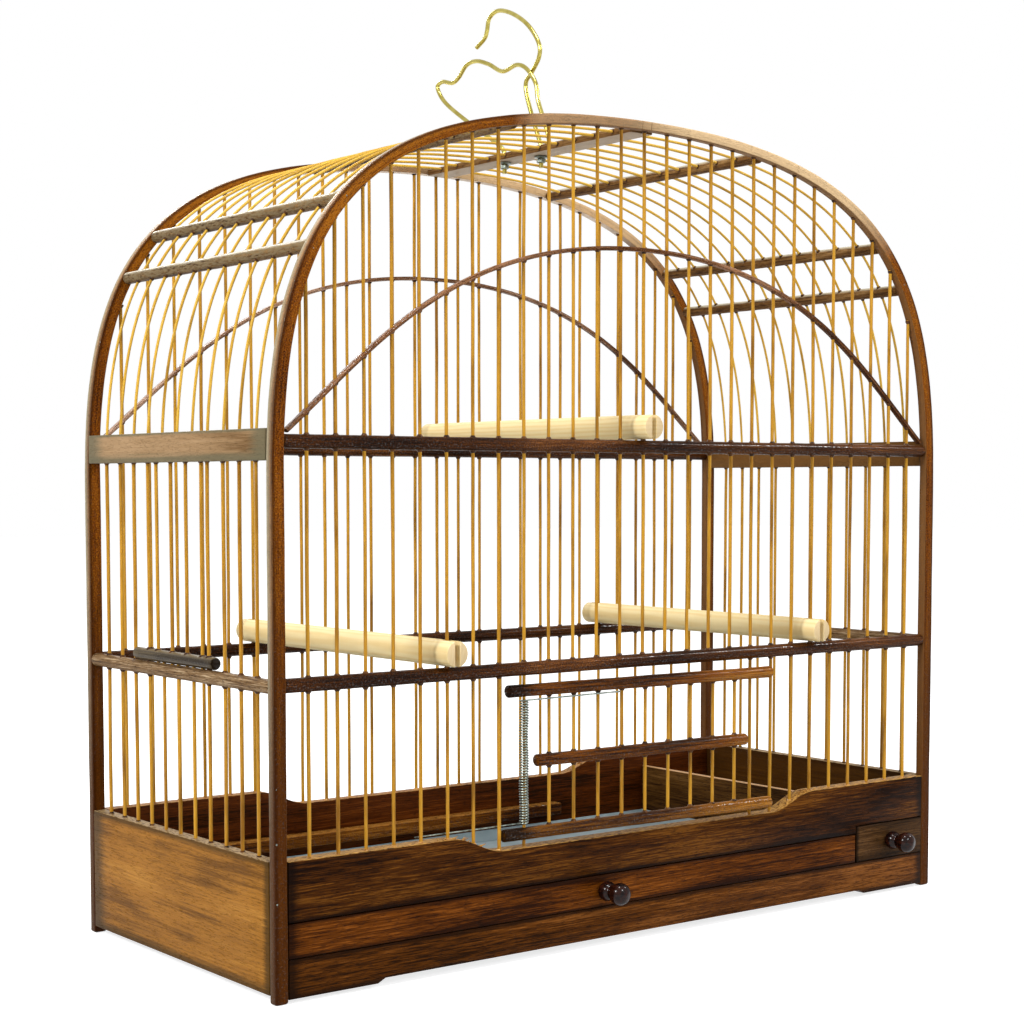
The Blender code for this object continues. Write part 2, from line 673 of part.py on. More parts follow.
def build_roof():
    """Six rods and the centre board, and the bars from the upper planks over the roof between them."""
    foot = solve(lambda t: inset(hoop_line, t, ROOF_ROD_RADIUS)[1], UPPER_PLANK_TOP + SEAT_GAP)
    ridge = solve(lambda t: inset(hoop_line, t, ROOF_ROD_RADIUS)[0], BOARD_WIDTH / 2 + SEAT_GAP)
    for side, name, insets in ((-1, "left", LEFT_ROD_INSETS), (1, "right", RIGHT_ROD_INSETS)):
        eave, shoulder, crown = (solve(lambda t: hoop_line(t)[0], x)
                                 for x in (WIDTH / 2 - insets[0], WIDTH / 2 - insets[1], CROWN_ROD_X))
        eave_bars = roof_path(foot, eave, 4) + roof_path(eave, stop_before(shoulder), 2)[1:]
        roof_rod(name + "_eave_rod", side, eave, eave_bars)
        roof_rod(name + "_shoulder_rod", side, shoulder, roof_path(shoulder, stop_before(crown), 5))
        roof_rod(name + "_crown_rod", side, crown, roof_path(crown, ridge, 3))
    ridge_board = block("ridge_board", (-BOARD_WIDTH / 2, SPAN_FRONT, BOARD_TOP - BOARD_THICKNESS),
                        (BOARD_WIDTH / 2, SPAN_REAR, BOARD_TOP), "side_plank")
    holes = []
    low, high = BOARD_TOP - 2 * BOARD_THICKNESS, BOARD_TOP + BOARD_THICKNESS
    for x, y in ((-HANGER_OFFSET, HANDLE_NUT_Y), (-HANGER_OFFSET, HANDLE_END_Y), (HANGER_OFFSET, HOOK_NUT_Y)):
        holes.append([(x, MIDDLE + y, low), (x, MIDDLE + y, high)])
    cut(ridge_board, as_mesh(wires("hanger_holes", holes, HANGER_WIRE / 2 + SEAT_GAP, 2, None), None))


def build_front_door():
    """Three rods and nine bars that swing out on the hinge bar, and the spring that closes them."""
    floor = sill_under(HINGE_X) + SEAT_GAP
    top = MID_RAIL_Z - MID_RAIL_RADIUS - SEAT_GAP
    dowel("hinge_bar", (HINGE_X, FRONT_BAR_Y, floor), (HINGE_X, FRONT_BAR_Y, top), BAR_RADIUS, 8, "cane")
    hinge = pivot("front_door_hinge", (HINGE_X, FRONT_BAR_Y, 0.0), -DOOR_ANGLE)
    pieces = (("door_top_rod", DOOR_TOP_Z, -DOOR_TOP_STUB, DOOR_REACH, DOOR_MID_Z),
              ("door_mid_rod", DOOR_MID_Z, DOOR_MID_START, DOOR_MID_REACH, DOOR_BOTTOM_Z),
              ("door_bottom_rod", DOOR_BOTTOM_Z, -DOOR_BOTTOM_STUB, DOOR_REACH, None))
    for name, height, start, end, next_height in pieces:
        rod = dowel(name, (start, 0.0, height), (end, 0.0, height), DOOR_ROD_RADIUS, 8, "dark_rail")
        blanks = []
        if next_height is not None:
            foot = next_height + DOOR_ROD_RADIUS + SEAT_GAP
            paths = [[((i + 1) * FRONT_PITCH, 0.0, height), ((i + 1) * FRONT_PITCH, 0.0, foot)]
                     for i in range(DOOR_BARS)]
            set_bars(rod, paths)
            blanks.append(rod.modifiers[-1].object)
        if start < 0:
            bore = dowel(name + "_bore", (0.0, 0.0, height - 2 * DOOR_ROD_RADIUS),
                         (0.0, 0.0, height + 2 * DOOR_ROD_RADIUS), BAR_RADIUS + GUIDE_PLAY, 8, None)
            cut(rod, bore)
            blanks.append(bore)
        for item in [rod] + blanks:
            item.parent = hinge


def spring_path():
    """The spring's wire: a straight leg before the door's bars, the coil, and a leg behind fixed bars."""
    low = DOOR_BOTTOM_Z + DOOR_ROD_RADIUS + SPRING_WIRE + 2 * SEAT_GAP
    high = DOOR_TOP_Z - DOOR_ROD_RADIUS - SPRING_WIRE - 2 * SEAT_GAP
    total = SPRING_TURNS * SPRING_POINTS
    coil = []
    for i in range(total + 1):
        angle = math.pi / 2 + 2 * math.pi * i / SPRING_POINTS
        coil.append(Vector((HINGE_X + SPRING_COIL_RADIUS * math.cos(angle),
                            FRONT_BAR_Y + SPRING_COIL_RADIUS * math.sin(angle),
                            low + (high - low) * i / total)))
    slope = math.tan(DOOR_ANGLE)
    bottom_end = coil[0] + Vector((-SPRING_BOTTOM_LEG, 0.0, 0.0))
    front = Vector((HINGE_X, FRONT_BAR_Y - SPRING_COIL_RADIUS, high))
    top_end = front + Vector((SPRING_TOP_LEG, -SPRING_TOP_LEG * slope, 0.0))
    return [bottom_end] + coil[:-SPRING_POINTS // 2] + [front, top_end]


def least_gap(path, radius, skip):
    """The least space between stretches of a wound tube that lie at least skip points apart."""
    least = 1.0
    for i, point in enumerate(path):
        for other in path[i + skip:i + 3 * skip]:
            least = min(least, (point - other).length)
    return least - 2 * radius


def build_spring():
    """The closely wound torsion spring on the hinge bar."""
    path = spring_path()
    wires("door_spring", [path], SPRING_WIRE / 2, 1, "zinc")
    gap = least_gap(path, SPRING_WIRE / 2, SPRING_POINTS // 2)
    print("least gap in the door spring, in mm:", round(gap * 1000, 3))


def build_side_door():
    """The lifting door in the left wall: a rod on the rail, with bars that slide down through it."""
    z = SIDE_RAIL_Z + SIDE_RAIL_RADIUS + SEAT_GAP + SIDE_DOOR_RADIUS
    before, behind = door_neighbours()
    front = side_y(before) - SIDE_DOOR_FRONT_END
    rear = side_y(behind + 1) - BAR_RADIUS - SIDE_DOOR_REAR_PLAY
    rod = dowel("side_door", (-SIDE_BAR_X, front, z), (-SIDE_BAR_X, rear, z), SIDE_DOOR_RADIUS, 12, "dark_rail")
    foot = SILL_TOP - PANEL_HOLE_DEPTH + SEAT_GAP
    places = [side_y(SIDE_DOOR_FIRST + i) for i in range(SIDE_DOOR_BARS)]
    set_bars(rod, [[(-SIDE_BAR_X, y, foot), (-SIDE_BAR_X, y, z)] for y in places])
    held = [side_y(before), side_y(behind)] + guide_places()
    paths = [[(-SIDE_BAR_X, y, z - LEG_WIDTH), (-SIDE_BAR_X, y, z + LEG_WIDTH)] for y in held]
    cut(rod, as_mesh(wires("guide_holes", paths, BAR_RADIUS + GUIDE_PLAY, 1, None), None))
    hang(rod, pivot("side_door_slide", (-SIDE_BAR_X, MIDDLE, z)))


def perch(name, x, rail_z, rail_radius):
    """A round perch whose slotted ends straddle a front and a rear bar above a pair of rails."""
    z = rail_z + rail_radius + SEAT_GAP + PERCH_RADIUS
    low, high = FRONT - PERCH_OVERHANG, REAR + PERCH_OVERHANG
    item = dowel(name, (x, low, z), (x, high, z), PERCH_RADIUS, 16, "pine")
    half = BAR_RADIUS + GUIDE_PLAY
    slot_front = FRONT_BAR_Y + BAR_RADIUS + PERCH_SLOT_REST
    slot_rear = REAR_BAR_Y - BAR_RADIUS - PERCH_SLOT_REST
    tall = 2 * PERCH_RADIUS
    for end, near, far in (("_front_slot", low - half, slot_front), ("_rear_slot", slot_rear, high + half)):
        cut(item, block(name + end, (x - half, near, z - tall), (x + half, far, z + tall), "pine"))
    return hang(item, pivot(name + "_lift", (x, MIDDLE, z)))


def smooth_path(points, steps):
    """Catmull-Rom points through a hand-set wire."""
    ends = [points[0]] + points + [points[-1]]
    path = []
    for a, b, c, d in zip(ends, ends[1:], ends[2:], ends[3:]):
        for i in range(steps):
            t = i / steps
            path.append(tuple(0.5 * (2 * q + (r - p) * t + (2 * p - 5 * q + 4 * r - w) * t * t
                                     + (3 * q - p - 3 * r + w) * t * t * t)
                              for p, q, r, w in zip(a, b, c, d)))
    return path + [points[-1]]


def hanger_wire(name, x, tail, bends, steps):
    """A bent hanger wire in a plane across the cage, with its straight tail through the ridge board.

    Bends are (y, z) from the middle of the depth and the board's top.
    """
    path = [(bends[0][0], tail)] + smooth_path(bends, steps)
    return wires(name, [[(x, MIDDLE + y, BOARD_TOP + z) for y, z in path]], HANGER_WIRE / 2, 1, "brass")


def build_hanger():
    """The carrying handle and the hanging hook over the ridge board, with their washers and nuts.

    Their bends are (y, z) from the middle of the depth and the board's top, in shares of each wire's rise.
    """
    tail = -BOARD_THICKNESS - TAIL_DROP
    handle = [(0.541, 0.129), (1.097, 0.450), (1.442, 0.676), (1.571, 0.843), (1.480, 0.888), (1.309, 0.850),
              (1.195, 0.888), (1.063, 0.987), (0.892, 1.000), (0.683, 0.934), (0.455, 0.827), (0.228, 0.852),
              (0.066, 0.787), (-0.076, 0.626), (-0.114, 0.455), (-0.199, 0.266), (-0.266, 0.114)]
    hook = [(0.026, 0.208), (0.094, 0.378), (0.102, 0.469), (0.036, 0.527), (-0.039, 0.612), (-0.036, 0.703),
            (0.078, 0.840), (0.247, 0.948), (0.410, 1.000), (0.514, 0.970), (0.544, 0.885), (0.573, 0.840),
            (0.663, 0.794)]
    handle = [(HANDLE_NUT_Y, WIRE_START)] + [(y * HANDLE_HEIGHT, z * HANDLE_HEIGHT) for y, z in handle]
    handle.append((HANDLE_END_Y, WIRE_START))
    hook = [(HOOK_NUT_Y, WIRE_START)] + [(y * HOOK_HEIGHT, z * HOOK_HEIGHT) for y, z in hook]
    hanger_wire("carrying_handle", -HANGER_OFFSET, tail, handle, 2)
    hanger_wire("hanging_hook", HANGER_OFFSET, tail, hook, 3)
    under = BOARD_TOP - BOARD_THICKNESS
    for name, x, y in (("handle", -HANGER_OFFSET, HANDLE_NUT_Y), ("hook", HANGER_OFFSET, HOOK_NUT_Y)):
        middle = MIDDLE + y
        washer_low = under - SEAT_GAP - WASHER_THICKNESS
        washer = dowel(name + "_washer", (x, middle, washer_low), (x, middle, under - SEAT_GAP),
                       WASHER_RADIUS, 12, "zinc")
        nut_low = washer_low - SEAT_GAP - NUT_THICKNESS
        nut = dowel(name + "_nut", (x, middle, nut_low), (x, middle, washer_low - SEAT_GAP),
                    NUT_RADIUS, 6, "zinc")
        for piece in (washer, nut):
            bore = dowel(piece.name + "_bore", (x, middle, nut_low - NUT_THICKNESS), (x, middle, under),
                         HANGER_WIRE / 2 + SEAT_GAP, 8, None)
            cut(piece, bore)


build_base()
build_drawers()
build_gable("front", FRONT_BAR_Y, FRONT + HOOP_DEPTH / 2, True)
build_gable("rear", REAR_BAR_Y, REAR - HOOP_DEPTH / 2, False)
build_side(-1, "left")
build_side(1, "right")
build_roof()
build_front_door()
build_spring()
build_side_door()
perch("left_perch", bar_x(LOW_PERCH_BAR), MID_RAIL_Z, MID_RAIL_RADIUS)
perch("right_perch", -bar_x(LOW_PERCH_BAR), MID_RAIL_Z, MID_RAIL_RADIUS)
perch("upper_perch", bar_x(HIGH_PERCH_BAR), UPPER_RAIL_Z, UPPER_RAIL_RADIUS)
build_hanger()
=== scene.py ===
"""The arched bird cage as it looks: varnished wood, hand-shaped sticks, cane bars and brass wire."""

import math

import bpy
import numpy as np
from mathutils import Matrix, Vector


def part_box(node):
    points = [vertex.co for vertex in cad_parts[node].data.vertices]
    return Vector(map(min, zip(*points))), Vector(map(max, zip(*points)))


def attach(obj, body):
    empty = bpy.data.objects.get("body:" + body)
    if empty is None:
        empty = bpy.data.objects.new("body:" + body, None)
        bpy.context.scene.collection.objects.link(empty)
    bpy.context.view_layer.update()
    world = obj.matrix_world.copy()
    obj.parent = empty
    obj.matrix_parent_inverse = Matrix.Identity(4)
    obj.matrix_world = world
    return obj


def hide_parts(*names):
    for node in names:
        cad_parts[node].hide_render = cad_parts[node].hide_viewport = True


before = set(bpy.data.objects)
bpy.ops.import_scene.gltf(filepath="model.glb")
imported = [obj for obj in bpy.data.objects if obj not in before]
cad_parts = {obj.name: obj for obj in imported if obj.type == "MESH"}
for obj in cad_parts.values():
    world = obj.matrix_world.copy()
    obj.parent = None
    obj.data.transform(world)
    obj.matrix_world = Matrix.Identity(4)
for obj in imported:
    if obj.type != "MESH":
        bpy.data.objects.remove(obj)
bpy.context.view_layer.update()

# The photograph's view
FOCAL_LENGTH = 68.8
FRAME_SHIFT = (-0.01146, 0.0978)
VIEW_AZIMUTH = -37.821
VIEW_DOWN = 3.725
EYE = (-0.6308, -0.7988, 0.2225)

# Sizes read from the frame
HOOP_LOW, HOOP_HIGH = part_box("front_hoop")
HALF_WIDTH, CROWN, FRONT = HOOP_HIGH.x, HOOP_HIGH.z, HOOP_LOW.y
HOOP_DEPTH = HOOP_HIGH.y - HOOP_LOW.y
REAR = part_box("rear_hoop")[1].y
MIDDLE = (FRONT + REAR) / 2
SPAN_FRONT, SPAN_REAR = FRONT + HOOP_DEPTH, REAR - HOOP_DEPTH
PANEL_FOOT, SILL_TOP = (corner.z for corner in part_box("left_panel"))
PLANK_FOOT, PLANK_TOP = (corner.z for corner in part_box("left_upper_plank"))
SILL_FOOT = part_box("front_sill")[0].z
RAIL_FOOT, RAIL_TOP = (corner.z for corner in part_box("front_bottom_rail"))
BOARD_LOW, BOARD_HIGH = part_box("ridge_board")
HINGE_LOW, HINGE_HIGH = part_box("hinge_bar")
SMALL_FRONT_LOW, SMALL_FRONT_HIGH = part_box("small_drawer_front")
FRONT_GAP = 0.0005
NOTCH_X, NOTCH_Z = SMALL_FRONT_LOW.x - FRONT_GAP, SMALL_FRONT_HIGH.z + FRONT_GAP

# Hoops: widths, and the curve of the right shoulder up to the middle of the crown
LEG_WIDTH = 0.0066
CROWN_WIDTH = 0.0046
SHOULDER_START = 0.225
SHOULDER_HEIGHT = 0.112
CROWN_PULL = 0.040
SHOULDER = ((HALF_WIDTH, SHOULDER_START), (HALF_WIDTH, SHOULDER_START + SHOULDER_HEIGHT),
            (HALF_WIDTH - CROWN_PULL, CROWN), (0.0, CROWN))
POST_INNER = HALF_WIDTH - LEG_WIDTH

# The front hoop's scarf joints and brads: over x on the crown, and up the left post
SCARF_PLACES = (-0.0805, -0.0038, 0.0019)
BRAD_PLACES = (-0.1717, -0.1884, 0.1840, 0.1915)
POST_BRADS = (0.0933, 0.0697, 0.0439, 0.0200)

# The dip in the sills' top edge
DIP = 0.0084
DIP_FLOOR = 0.087
DIP_SHOULDER = 0.117

# Cane bars
BAR_RADIUS = 0.00094
ROOF_BAR_RADIUS = 0.00074
CAD_BAR_RADIUS = 0.0011
FRONT_BARS = 27
FRONT_END_SPACE = 0.01269
FRONT_PITCH = 2 * (POST_INNER - FRONT_END_SPACE) / (FRONT_BARS - 1)
SIDE_BARS = 11
SIDE_END_SPACE = 0.0135
SIDE_PITCH = (SPAN_REAR - SPAN_FRONT - 2 * SIDE_END_SPACE) / (SIDE_BARS - 1)
SHORT_BAR_OFFSET = 0.0060

# Sticks, strips and rods
RAIL_RADIUS = 0.0033
UPPER_RAIL_RADIUS = 0.0032
SIDE_RAIL_RADIUS = LEG_WIDTH / 2
MID_Z = 0.1369
UPPER_Z = 0.2409
SIDE_Z = 0.1365
ARCH_THICKNESS = 0.0022
ARCH_DEPTH = 0.0036
ARCH_TOP = 0.3355
ARCH_SLOPE = 0.83
ARCH_PULL = 0.060
ARCH_SHOULDER = 0.110
ROOF_ROD_RADIUS = 0.0031
ROD_INSETS = {"left": (0.0200, 0.0360), "right": (0.0220, 0.0395)}
CROWN_ROD_X = 0.0790
SEAT = 0.0003
SUNK = 0.0012
SIDE_X = HALF_WIDTH - SIDE_RAIL_RADIUS
FRONT_Y, REAR_Y = FRONT + RAIL_RADIUS, REAR - RAIL_RADIUS

# Doors: the front one turns on the ninth bar and has nine of its own, the side one has the three middle bars
HINGE_BAR = 9
DOOR_BARS = 9
DOOR_ROD_RADIUS = 0.0031
DOOR_TOP = 0.1267
DOOR_MID = 0.0932
DOOR_BOTTOM = 0.0594
SPRING_WIRE = 0.00075
SPRING_RADIUS = 0.0019
SPRING_TURNS = 47
SIDE_DOOR_STEPS = (-1, 0, 1)
SIDE_DOOR_RADIUS = 0.0029

# The handle and the hook: bends as shares of each wire's height, (y, z) from its nut
HANGER_WIRE = 0.0023
HANGER_OFFSET = 0.0015
WIRE_START = 0.0014
TAIL_DROP = 0.0060
HANDLE_NUT_Y = 0.0223
HANDLE_END_Y = -0.0150
HANDLE_HEIGHT = 0.0527
HANDLE_BENDS = ((0.541, 0.129), (1.097, 0.450), (1.442, 0.676), (1.571, 0.843), (1.480, 0.888),
                (1.309, 0.850), (1.195, 0.888), (1.063, 0.987), (0.892, 1.000), (0.683, 0.934),
                (0.455, 0.827), (0.228, 0.852), (0.066, 0.787), (-0.076, 0.626), (-0.114, 0.455),
                (-0.199, 0.266), (-0.266, 0.114))
HOOK_NUT_Y = -0.0048
HOOK_HEIGHT = 0.0766
HOOK_BENDS = ((0.026, 0.208), (0.094, 0.378), (0.102, 0.469), (0.036, 0.527), (-0.039, 0.612),
              (-0.036, 0.703), (0.078, 0.840), (0.247, 0.948), (0.410, 1.000), (0.514, 0.970),
              (0.544, 0.885), (0.573, 0.840), (0.663, 0.794))

X, Y, Z = np.eye(3)


class Value:
    """A shader socket. Sums, products and the like on it add Math nodes."""

    def __init__(self, tree, socket):
        self.tree = tree
        self.socket = socket

    def math(self, operation, *others):
        return self.tree.node("ShaderNodeMath", {"operation": operation}, dict(enumerate([self, *others])))

    def __add__(self, other):
        return self.math("ADD", other)

    __radd__ = __add__

    def __sub__(self, other):
        return self.math("SUBTRACT", other)

    def __rsub__(self, other):
        return self.tree.node("ShaderNodeMath", {"operation": "SUBTRACT"}, {0: other, 1: self})

    def __mul__(self, other):
        return self.math("MULTIPLY", other)

    __rmul__ = __mul__

    def __pow__(self, other):
        return self.math("POWER", other)

    def step(self, low, high):
        """0 below low, 1 above high, smooth between."""
        return self.tree.node("ShaderNodeMapRange", {"interpolation_type": "SMOOTHSTEP"},
                              {"Value": self, "From Min": low, "From Max": high})


class Tree:
    """The nodes of a material or of the world. Each takes its settings first and its values after."""

    def __init__(self, owner):
        owner.use_nodes = True
        self.nodes = owner.node_tree.nodes
        self.links = owner.node_tree.links

    def node(self, kind, settings=None, values=None, output=0):
        made = self.nodes.new(kind)
        for key, setting in (settings or {}).items():
            setattr(made, key, setting)
        self.feed(made, values or {})
        return Value(self, made.outputs[output])

    def feed(self, made, values):
        for key, value in values.items():
            socket = made.inputs[key]
            if isinstance(value, Value):
                self.links.new(value.socket, socket)
            elif socket.type == "RGBA":
                socket.default_value = (*value, 1.0)
            else:
                socket.default_value = value


class Finish(Tree):
    """A Principled material, its patterns laid by the piece's own coordinates."""

    def __init__(self, name):
        self.material = bpy.data.materials.new(name)
        super().__init__(self.material)

    def place(self, scale, source="Object"):
        """Object coordinates or the UV map, in millimetres, scaled along each axis."""
        point = self.node("ShaderNodeTexCoord", output=source)
        return self.node("ShaderNodeMapping", {"vector_type": "POINT"},
                         {"Vector": point, "Scale": tuple(1000.0 * share for share in scale)})

    def noise(self, point, scale, detail=3.0, roughness=0.55, distortion=0.0):
        return self.node("ShaderNodeTexNoise", {"noise_dimensions": "3D"},
                         {"Vector": point, "Scale": scale, "Detail": detail, "Roughness": roughness,
                          "Distortion": distortion})

    def mix(self, share, first, second):
        return self.node("ShaderNodeMix", {"data_type": "RGBA"}, {0: share, 6: first, 7: second}, output=2)

    def tone(self, name):
        """A number that the piece carries at its points."""
        return self.node("ShaderNodeAttribute", {"attribute_name": name}, output="Fac")

    def part(self, vector, axis):
        """A vector's X, Y or Z."""
        return self.node("ShaderNodeSeparateXYZ", {}, {"Vector": vector}, output=axis)

    def normal(self):
        return self.node("ShaderNodeNewGeometry", output="Normal")

    def bump(self, height, depth):
        return self.node("ShaderNodeBump", {}, {"Height": height, "Distance": depth})

    def end(self, **values):
        """Feeds the material's shader, by socket names written with underscores."""
        inputs = {key.replace("_", " "): value for key, value in values.items()}
        self.feed(self.nodes["Principled BSDF"], inputs)
        return self.material


def wood(name, pale, mid, dark, grain="X", source="Object", seed=0.0, figure=0.6, pores=0.5, fine=1.0, grit=0.0,
         rings=0.0, gloss=0.01, drops=0.0, margins=(), rim=None, edges=None, faces=()):
    """Varnished wood: clouds, bands, streaks, fibres and broken pores, each finer and drawn out along the grain.

    Their sum leads from dark through mid to pale. The grain runs along X, Y or Z of the piece, or along a bent
    piece's own length (source UV). figure is the share of dark bands, fine that of fibres, grit that of round
    specks, rings that of thin dark lines, and drops says how much thick varnish stands in glossy nibs.

    margins are (axis, place, reach) of joints, turned towards rim there by grime, by oxide on the upper planks
    and by painted shade in the joint. edges are a bent hoop's colours: its outer edge, pale partly by rubbed
    varnish and partly by painted sheen; its inner edge; a painted highlight over the crown; and the underside of
    its crown. Each is laid where
    the piece carries its number: outer, inner, one of its own for the crown, or under. Its outer arris gets
    painted shade, dark where it carries arris. faces are (axis, sign, colour, chipped) of faces that look
    another way and have a colour of their own, on some pieces painted highlights, sheen, reflection and shade,
    in flakes where chipped is 1.
    """
    f = Finish(name)

    def drawn(along, across):
        scale = [along if axis == grain else across for axis in "XYZ"]
        return f.node("ShaderNodeVectorMath", {"operation": "ADD"},
                      {0: f.place(scale, source), 1: (seed, seed * 1.7, seed * 0.6)})

    cloud = f.noise(drawn(0.010, 0.030), 1.0, 2.0, 0.5)
    band = f.noise(drawn(0.0045, 0.10), 1.0, 4.0, 0.6, 0.8)
    streak = f.noise(drawn(0.012, 0.60), 1.0, 4.0, 0.62, 0.25)
    fibre = f.noise(drawn(0.07, 1.9), 1.0, 3.0, 0.65, 0.2)
    pore = f.noise(drawn(0.20, 1.9), 1.3, 1.0, 0.5).step(0.60, 0.68)
    share = cloud + (band - 0.5) * 0.55 + (streak - 0.5) * 0.6 + (fibre - 0.5) * (0.9 * fine)
    if grit:
        share = share + (f.noise(f.place((1.5, 1.5, 1.5), source), 1.0, 2.0, 0.6) - 0.5) * grit
    body = f.mix(share.step(0.24, 0.52), dark, mid)
    body = f.mix(share.step(0.50, 0.78), body, pale)
    if rings:
        line = (band * 34.0 + streak * 4.0).math("SINE").step(0.30, 1.0)
        body = f.mix(line * rings, body, dark)
    body = f.mix(band.step(0.55, 0.72) * (figure * 0.5), body, dark)
    body = f.mix(pore * pores, body, tuple(c * 0.4 for c in dark))
    # Towards the joints: grime, oxide on the upper planks, and painted shade in the joint.
    for axis, place, reach in margins:
        spot = f.part(f.node("ShaderNodeTexCoord", output="Object"), axis)
        gap = (spot - place).math("ABSOLUTE") + (streak - 0.5) * (reach * 0.9)
        near = 1.0 - gap.step(reach * 0.3, reach * 1.1)
        body = f.mix(near * 0.85, body, rim or tuple(c * 0.5 for c in dark))
    if edges:
        outer, inner, crown_highlight, under = edges
        # Painted highlight over the crown's right shoulder.
        body = f.mix(f.tone("crown_highlight") * (streak * 0.8 + 0.5), body, crown_highlight)
        # Painted shade along the front's outer arris.
        body = f.mix(f.tone("arris").step(0.62, 0.98) * (streak * 0.5 + 0.5), body, dark)
        # Pale outer edge: partly rubbed varnish, partly painted sheen.
        body = f.mix(f.tone("outer") * (fibre * 0.7 + streak * 0.5 + 0.35), body, outer)
        body = f.mix(f.tone("inner") * (fibre * 0.5 + streak * 0.5 + 0.35), body, inner)
        body = f.mix(f.tone("under") * (fibre * 0.3 + 0.8), body, under)
    for axis, sign, colour, chipped in faces:
        facing = f.part(f.normal(), axis) * sign
        cover = f.noise(drawn(0.3, 1.2), 1.0, 3.0, 0.6).step(0.36, 0.58) if chipped else streak * 0.4 + 0.72
        body = f.mix(facing.step(0.35, 0.9) * cover, body, colour)
    nib = f.noise(f.place((1.05, 1.05, 1.05), source), 1.0, 1.0, 0.5)
    drop = nib.step(0.58 - 0.07 * drops, 0.80 - 0.07 * drops) * drops
    height = fibre * 0.45 - pore * 0.6 + streak * 0.4 + drop * 2.2
    return f.end(Base_Color=body, Roughness=fibre * 0.2 + pore * 0.2 + 0.32, Specular_IOR_Level=0.03,
                 Coat_Weight=drop * 0.75 + gloss, Coat_Roughness=0.08, Normal=f.bump(height, 0.00022))


def cane(name, pale, mid, dark):
    """Split cane under amber varnish: lengthwise streaks (the fine pale ones painted highlights), a tone of its
    own for each bar, and small beads.
    """
    f = Finish(name)
    fine = f.noise(f.place((0.10, 2.0, 1.0), source="UV"), 1.4, 4.0, 0.6)
    patch = f.noise(f.place((0.022, 0.2, 1.0), source="UV"), 1.0, 3.0, 0.6)
    colour = f.mix(f.tone("tone") * 0.5 + patch.step(0.3, 0.7) * 0.5, pale, mid)
    # Fine pale streaks along the bar: painted highlights.
    colour = f.mix(fine.step(0.42, 0.8) * 0.45, colour, (0.70, 0.44, 0.08))
    colour = f.mix(patch.step(0.50, 0.72) * 0.7, colour, dark)
    bead = f.noise(f.place((0.8, 1.0, 1.0), source="UV"), 1.3, 1.0).step(0.60, 0.75)
    return f.end(Base_Color=colour, Roughness=fine * 0.2 + 0.30, Specular_IOR_Level=0.10,
                 Coat_Weight=bead * 0.25 + 0.05, Coat_Roughness=0.10,
                 Normal=f.bump(fine * 0.4 + bead, 0.00016))


def pine():
    """Bare pine dowel: growth rings round a heart that lies off the dowel, cut lengthwise into long lines."""
    f = Finish("bare_pine")
    point = f.place((0.001, 0.000022, 0.001))
    warp = f.noise(f.place((0.09, 0.009, 0.09)), 1.0, 3.0)
    centred = f.node("ShaderNodeVectorMath", {"operation": "SUBTRACT"}, {0: point, 1: (0.0, 0.0, 0.135)})
    reach = f.node("ShaderNodeVectorMath", {"operation": "LENGTH"}, {0: centred}, output="Value")
    ring = (reach * 3100.0 + warp * 13.0).math("SINE") * 0.5 + 0.5
    fibre = f.noise(f.place((2.4, 0.07, 2.4)), 1.0, 4.0, 0.6)
    colour = f.mix(ring ** 2.0 * 0.38 + fibre * 0.25, (0.78, 0.64, 0.35), (0.65, 0.44, 0.16))
    colour = f.mix(fibre.step(0.60, 0.8) * 0.30, colour, (0.60, 0.38, 0.13))
    sawn = f.part(f.normal(), "Y").math("ABSOLUTE").step(0.7, 0.95)
    colour = f.mix(sawn * 0.65, colour, (0.56, 0.41, 0.24))
    return f.end(Base_Color=colour, Roughness=fibre * 0.2 + 0.55, Specular_IOR_Level=0.15,
                 Normal=f.bump(fibre + ring * 0.15, 0.00006))


def pooled_varnish(name, dark, light):
    """Thick varnish, pooled where a bar enters the wood."""
    f = Finish(name)
    cloud = f.noise(f.place((0.4, 0.4, 0.4)), 1.0, 3.0)
    colour = f.mix(cloud.step(0.35, 0.65), dark, light)
    return f.end(Base_Color=colour, Roughness=cloud * 0.2 + 0.22, Specular_IOR_Level=0.08, Coat_Weight=0.12,
                 Coat_Roughness=0.06, Normal=f.bump(cloud, 0.0002))


def knob_finish():
    """Turned knobs under near-black gloss, browner in clouds."""
    f = Finish("knob_gloss")
    cloud = f.noise(f.place((0.5, 0.2, 0.5)), 1.0, 3.0)
    turned = f.noise(f.place((0.1, 3.0, 0.1)), 1.0, 2.0)
    colour = f.mix(cloud.step(0.35, 0.7), (0.003, 0.001, 0.001), (0.024, 0.005, 0.002))
    return f.end(Base_Color=colour, Roughness=turned * 0.15 + 0.12, Specular_IOR_Level=0.03, Coat_Weight=0.30,
                 Coat_Roughness=0.03, Normal=f.bump(turned * 0.5 + cloud, 0.00012))


def zinc():
    """Zinc plate gone dull: grey-green with paler scuffs."""
    f = Finish("dull_zinc")
    cloud = f.noise(f.place((0.6, 0.6, 0.6)), 1.0, 4.0)
    colour = f.mix(cloud.step(0.35, 0.7), (0.115, 0.135, 0.115), (0.30, 0.335, 0.29))
    return f.end(Base_Color=colour, Metallic=cloud * 0.1 + 0.9, Roughness=cloud * 0.25 + 0.20,
                 Normal=f.bump(cloud, 0.00005))


def galvanised():
    """Galvanised sheet, dull blue-grey: faint cloudy crystals, rubbed by cleaning."""
    f = Finish("galvanised_sheet")
    crystal = f.node("ShaderNodeTexVoronoi", {"feature": "F1"},
                     {"Vector": f.place((0.12, 0.12, 0.12)), "Scale": 1.0})
    rub = f.noise(f.place((0.02, 0.25, 0.25)), 1.0, 4.0)
    colour = f.mix(crystal * 0.5 + rub * 0.4, (0.25, 0.31, 0.33), (0.42, 0.50, 0.52))
    return f.end(Base_Color=f.mix(rub.step(0.55, 0.8) * 0.3, colour, (0.18, 0.22, 0.23)),
                 Metallic=rub * 0.1 + 0.35, Roughness=rub * 0.3 + 0.36, Normal=f.bump(rub, 0.00006))


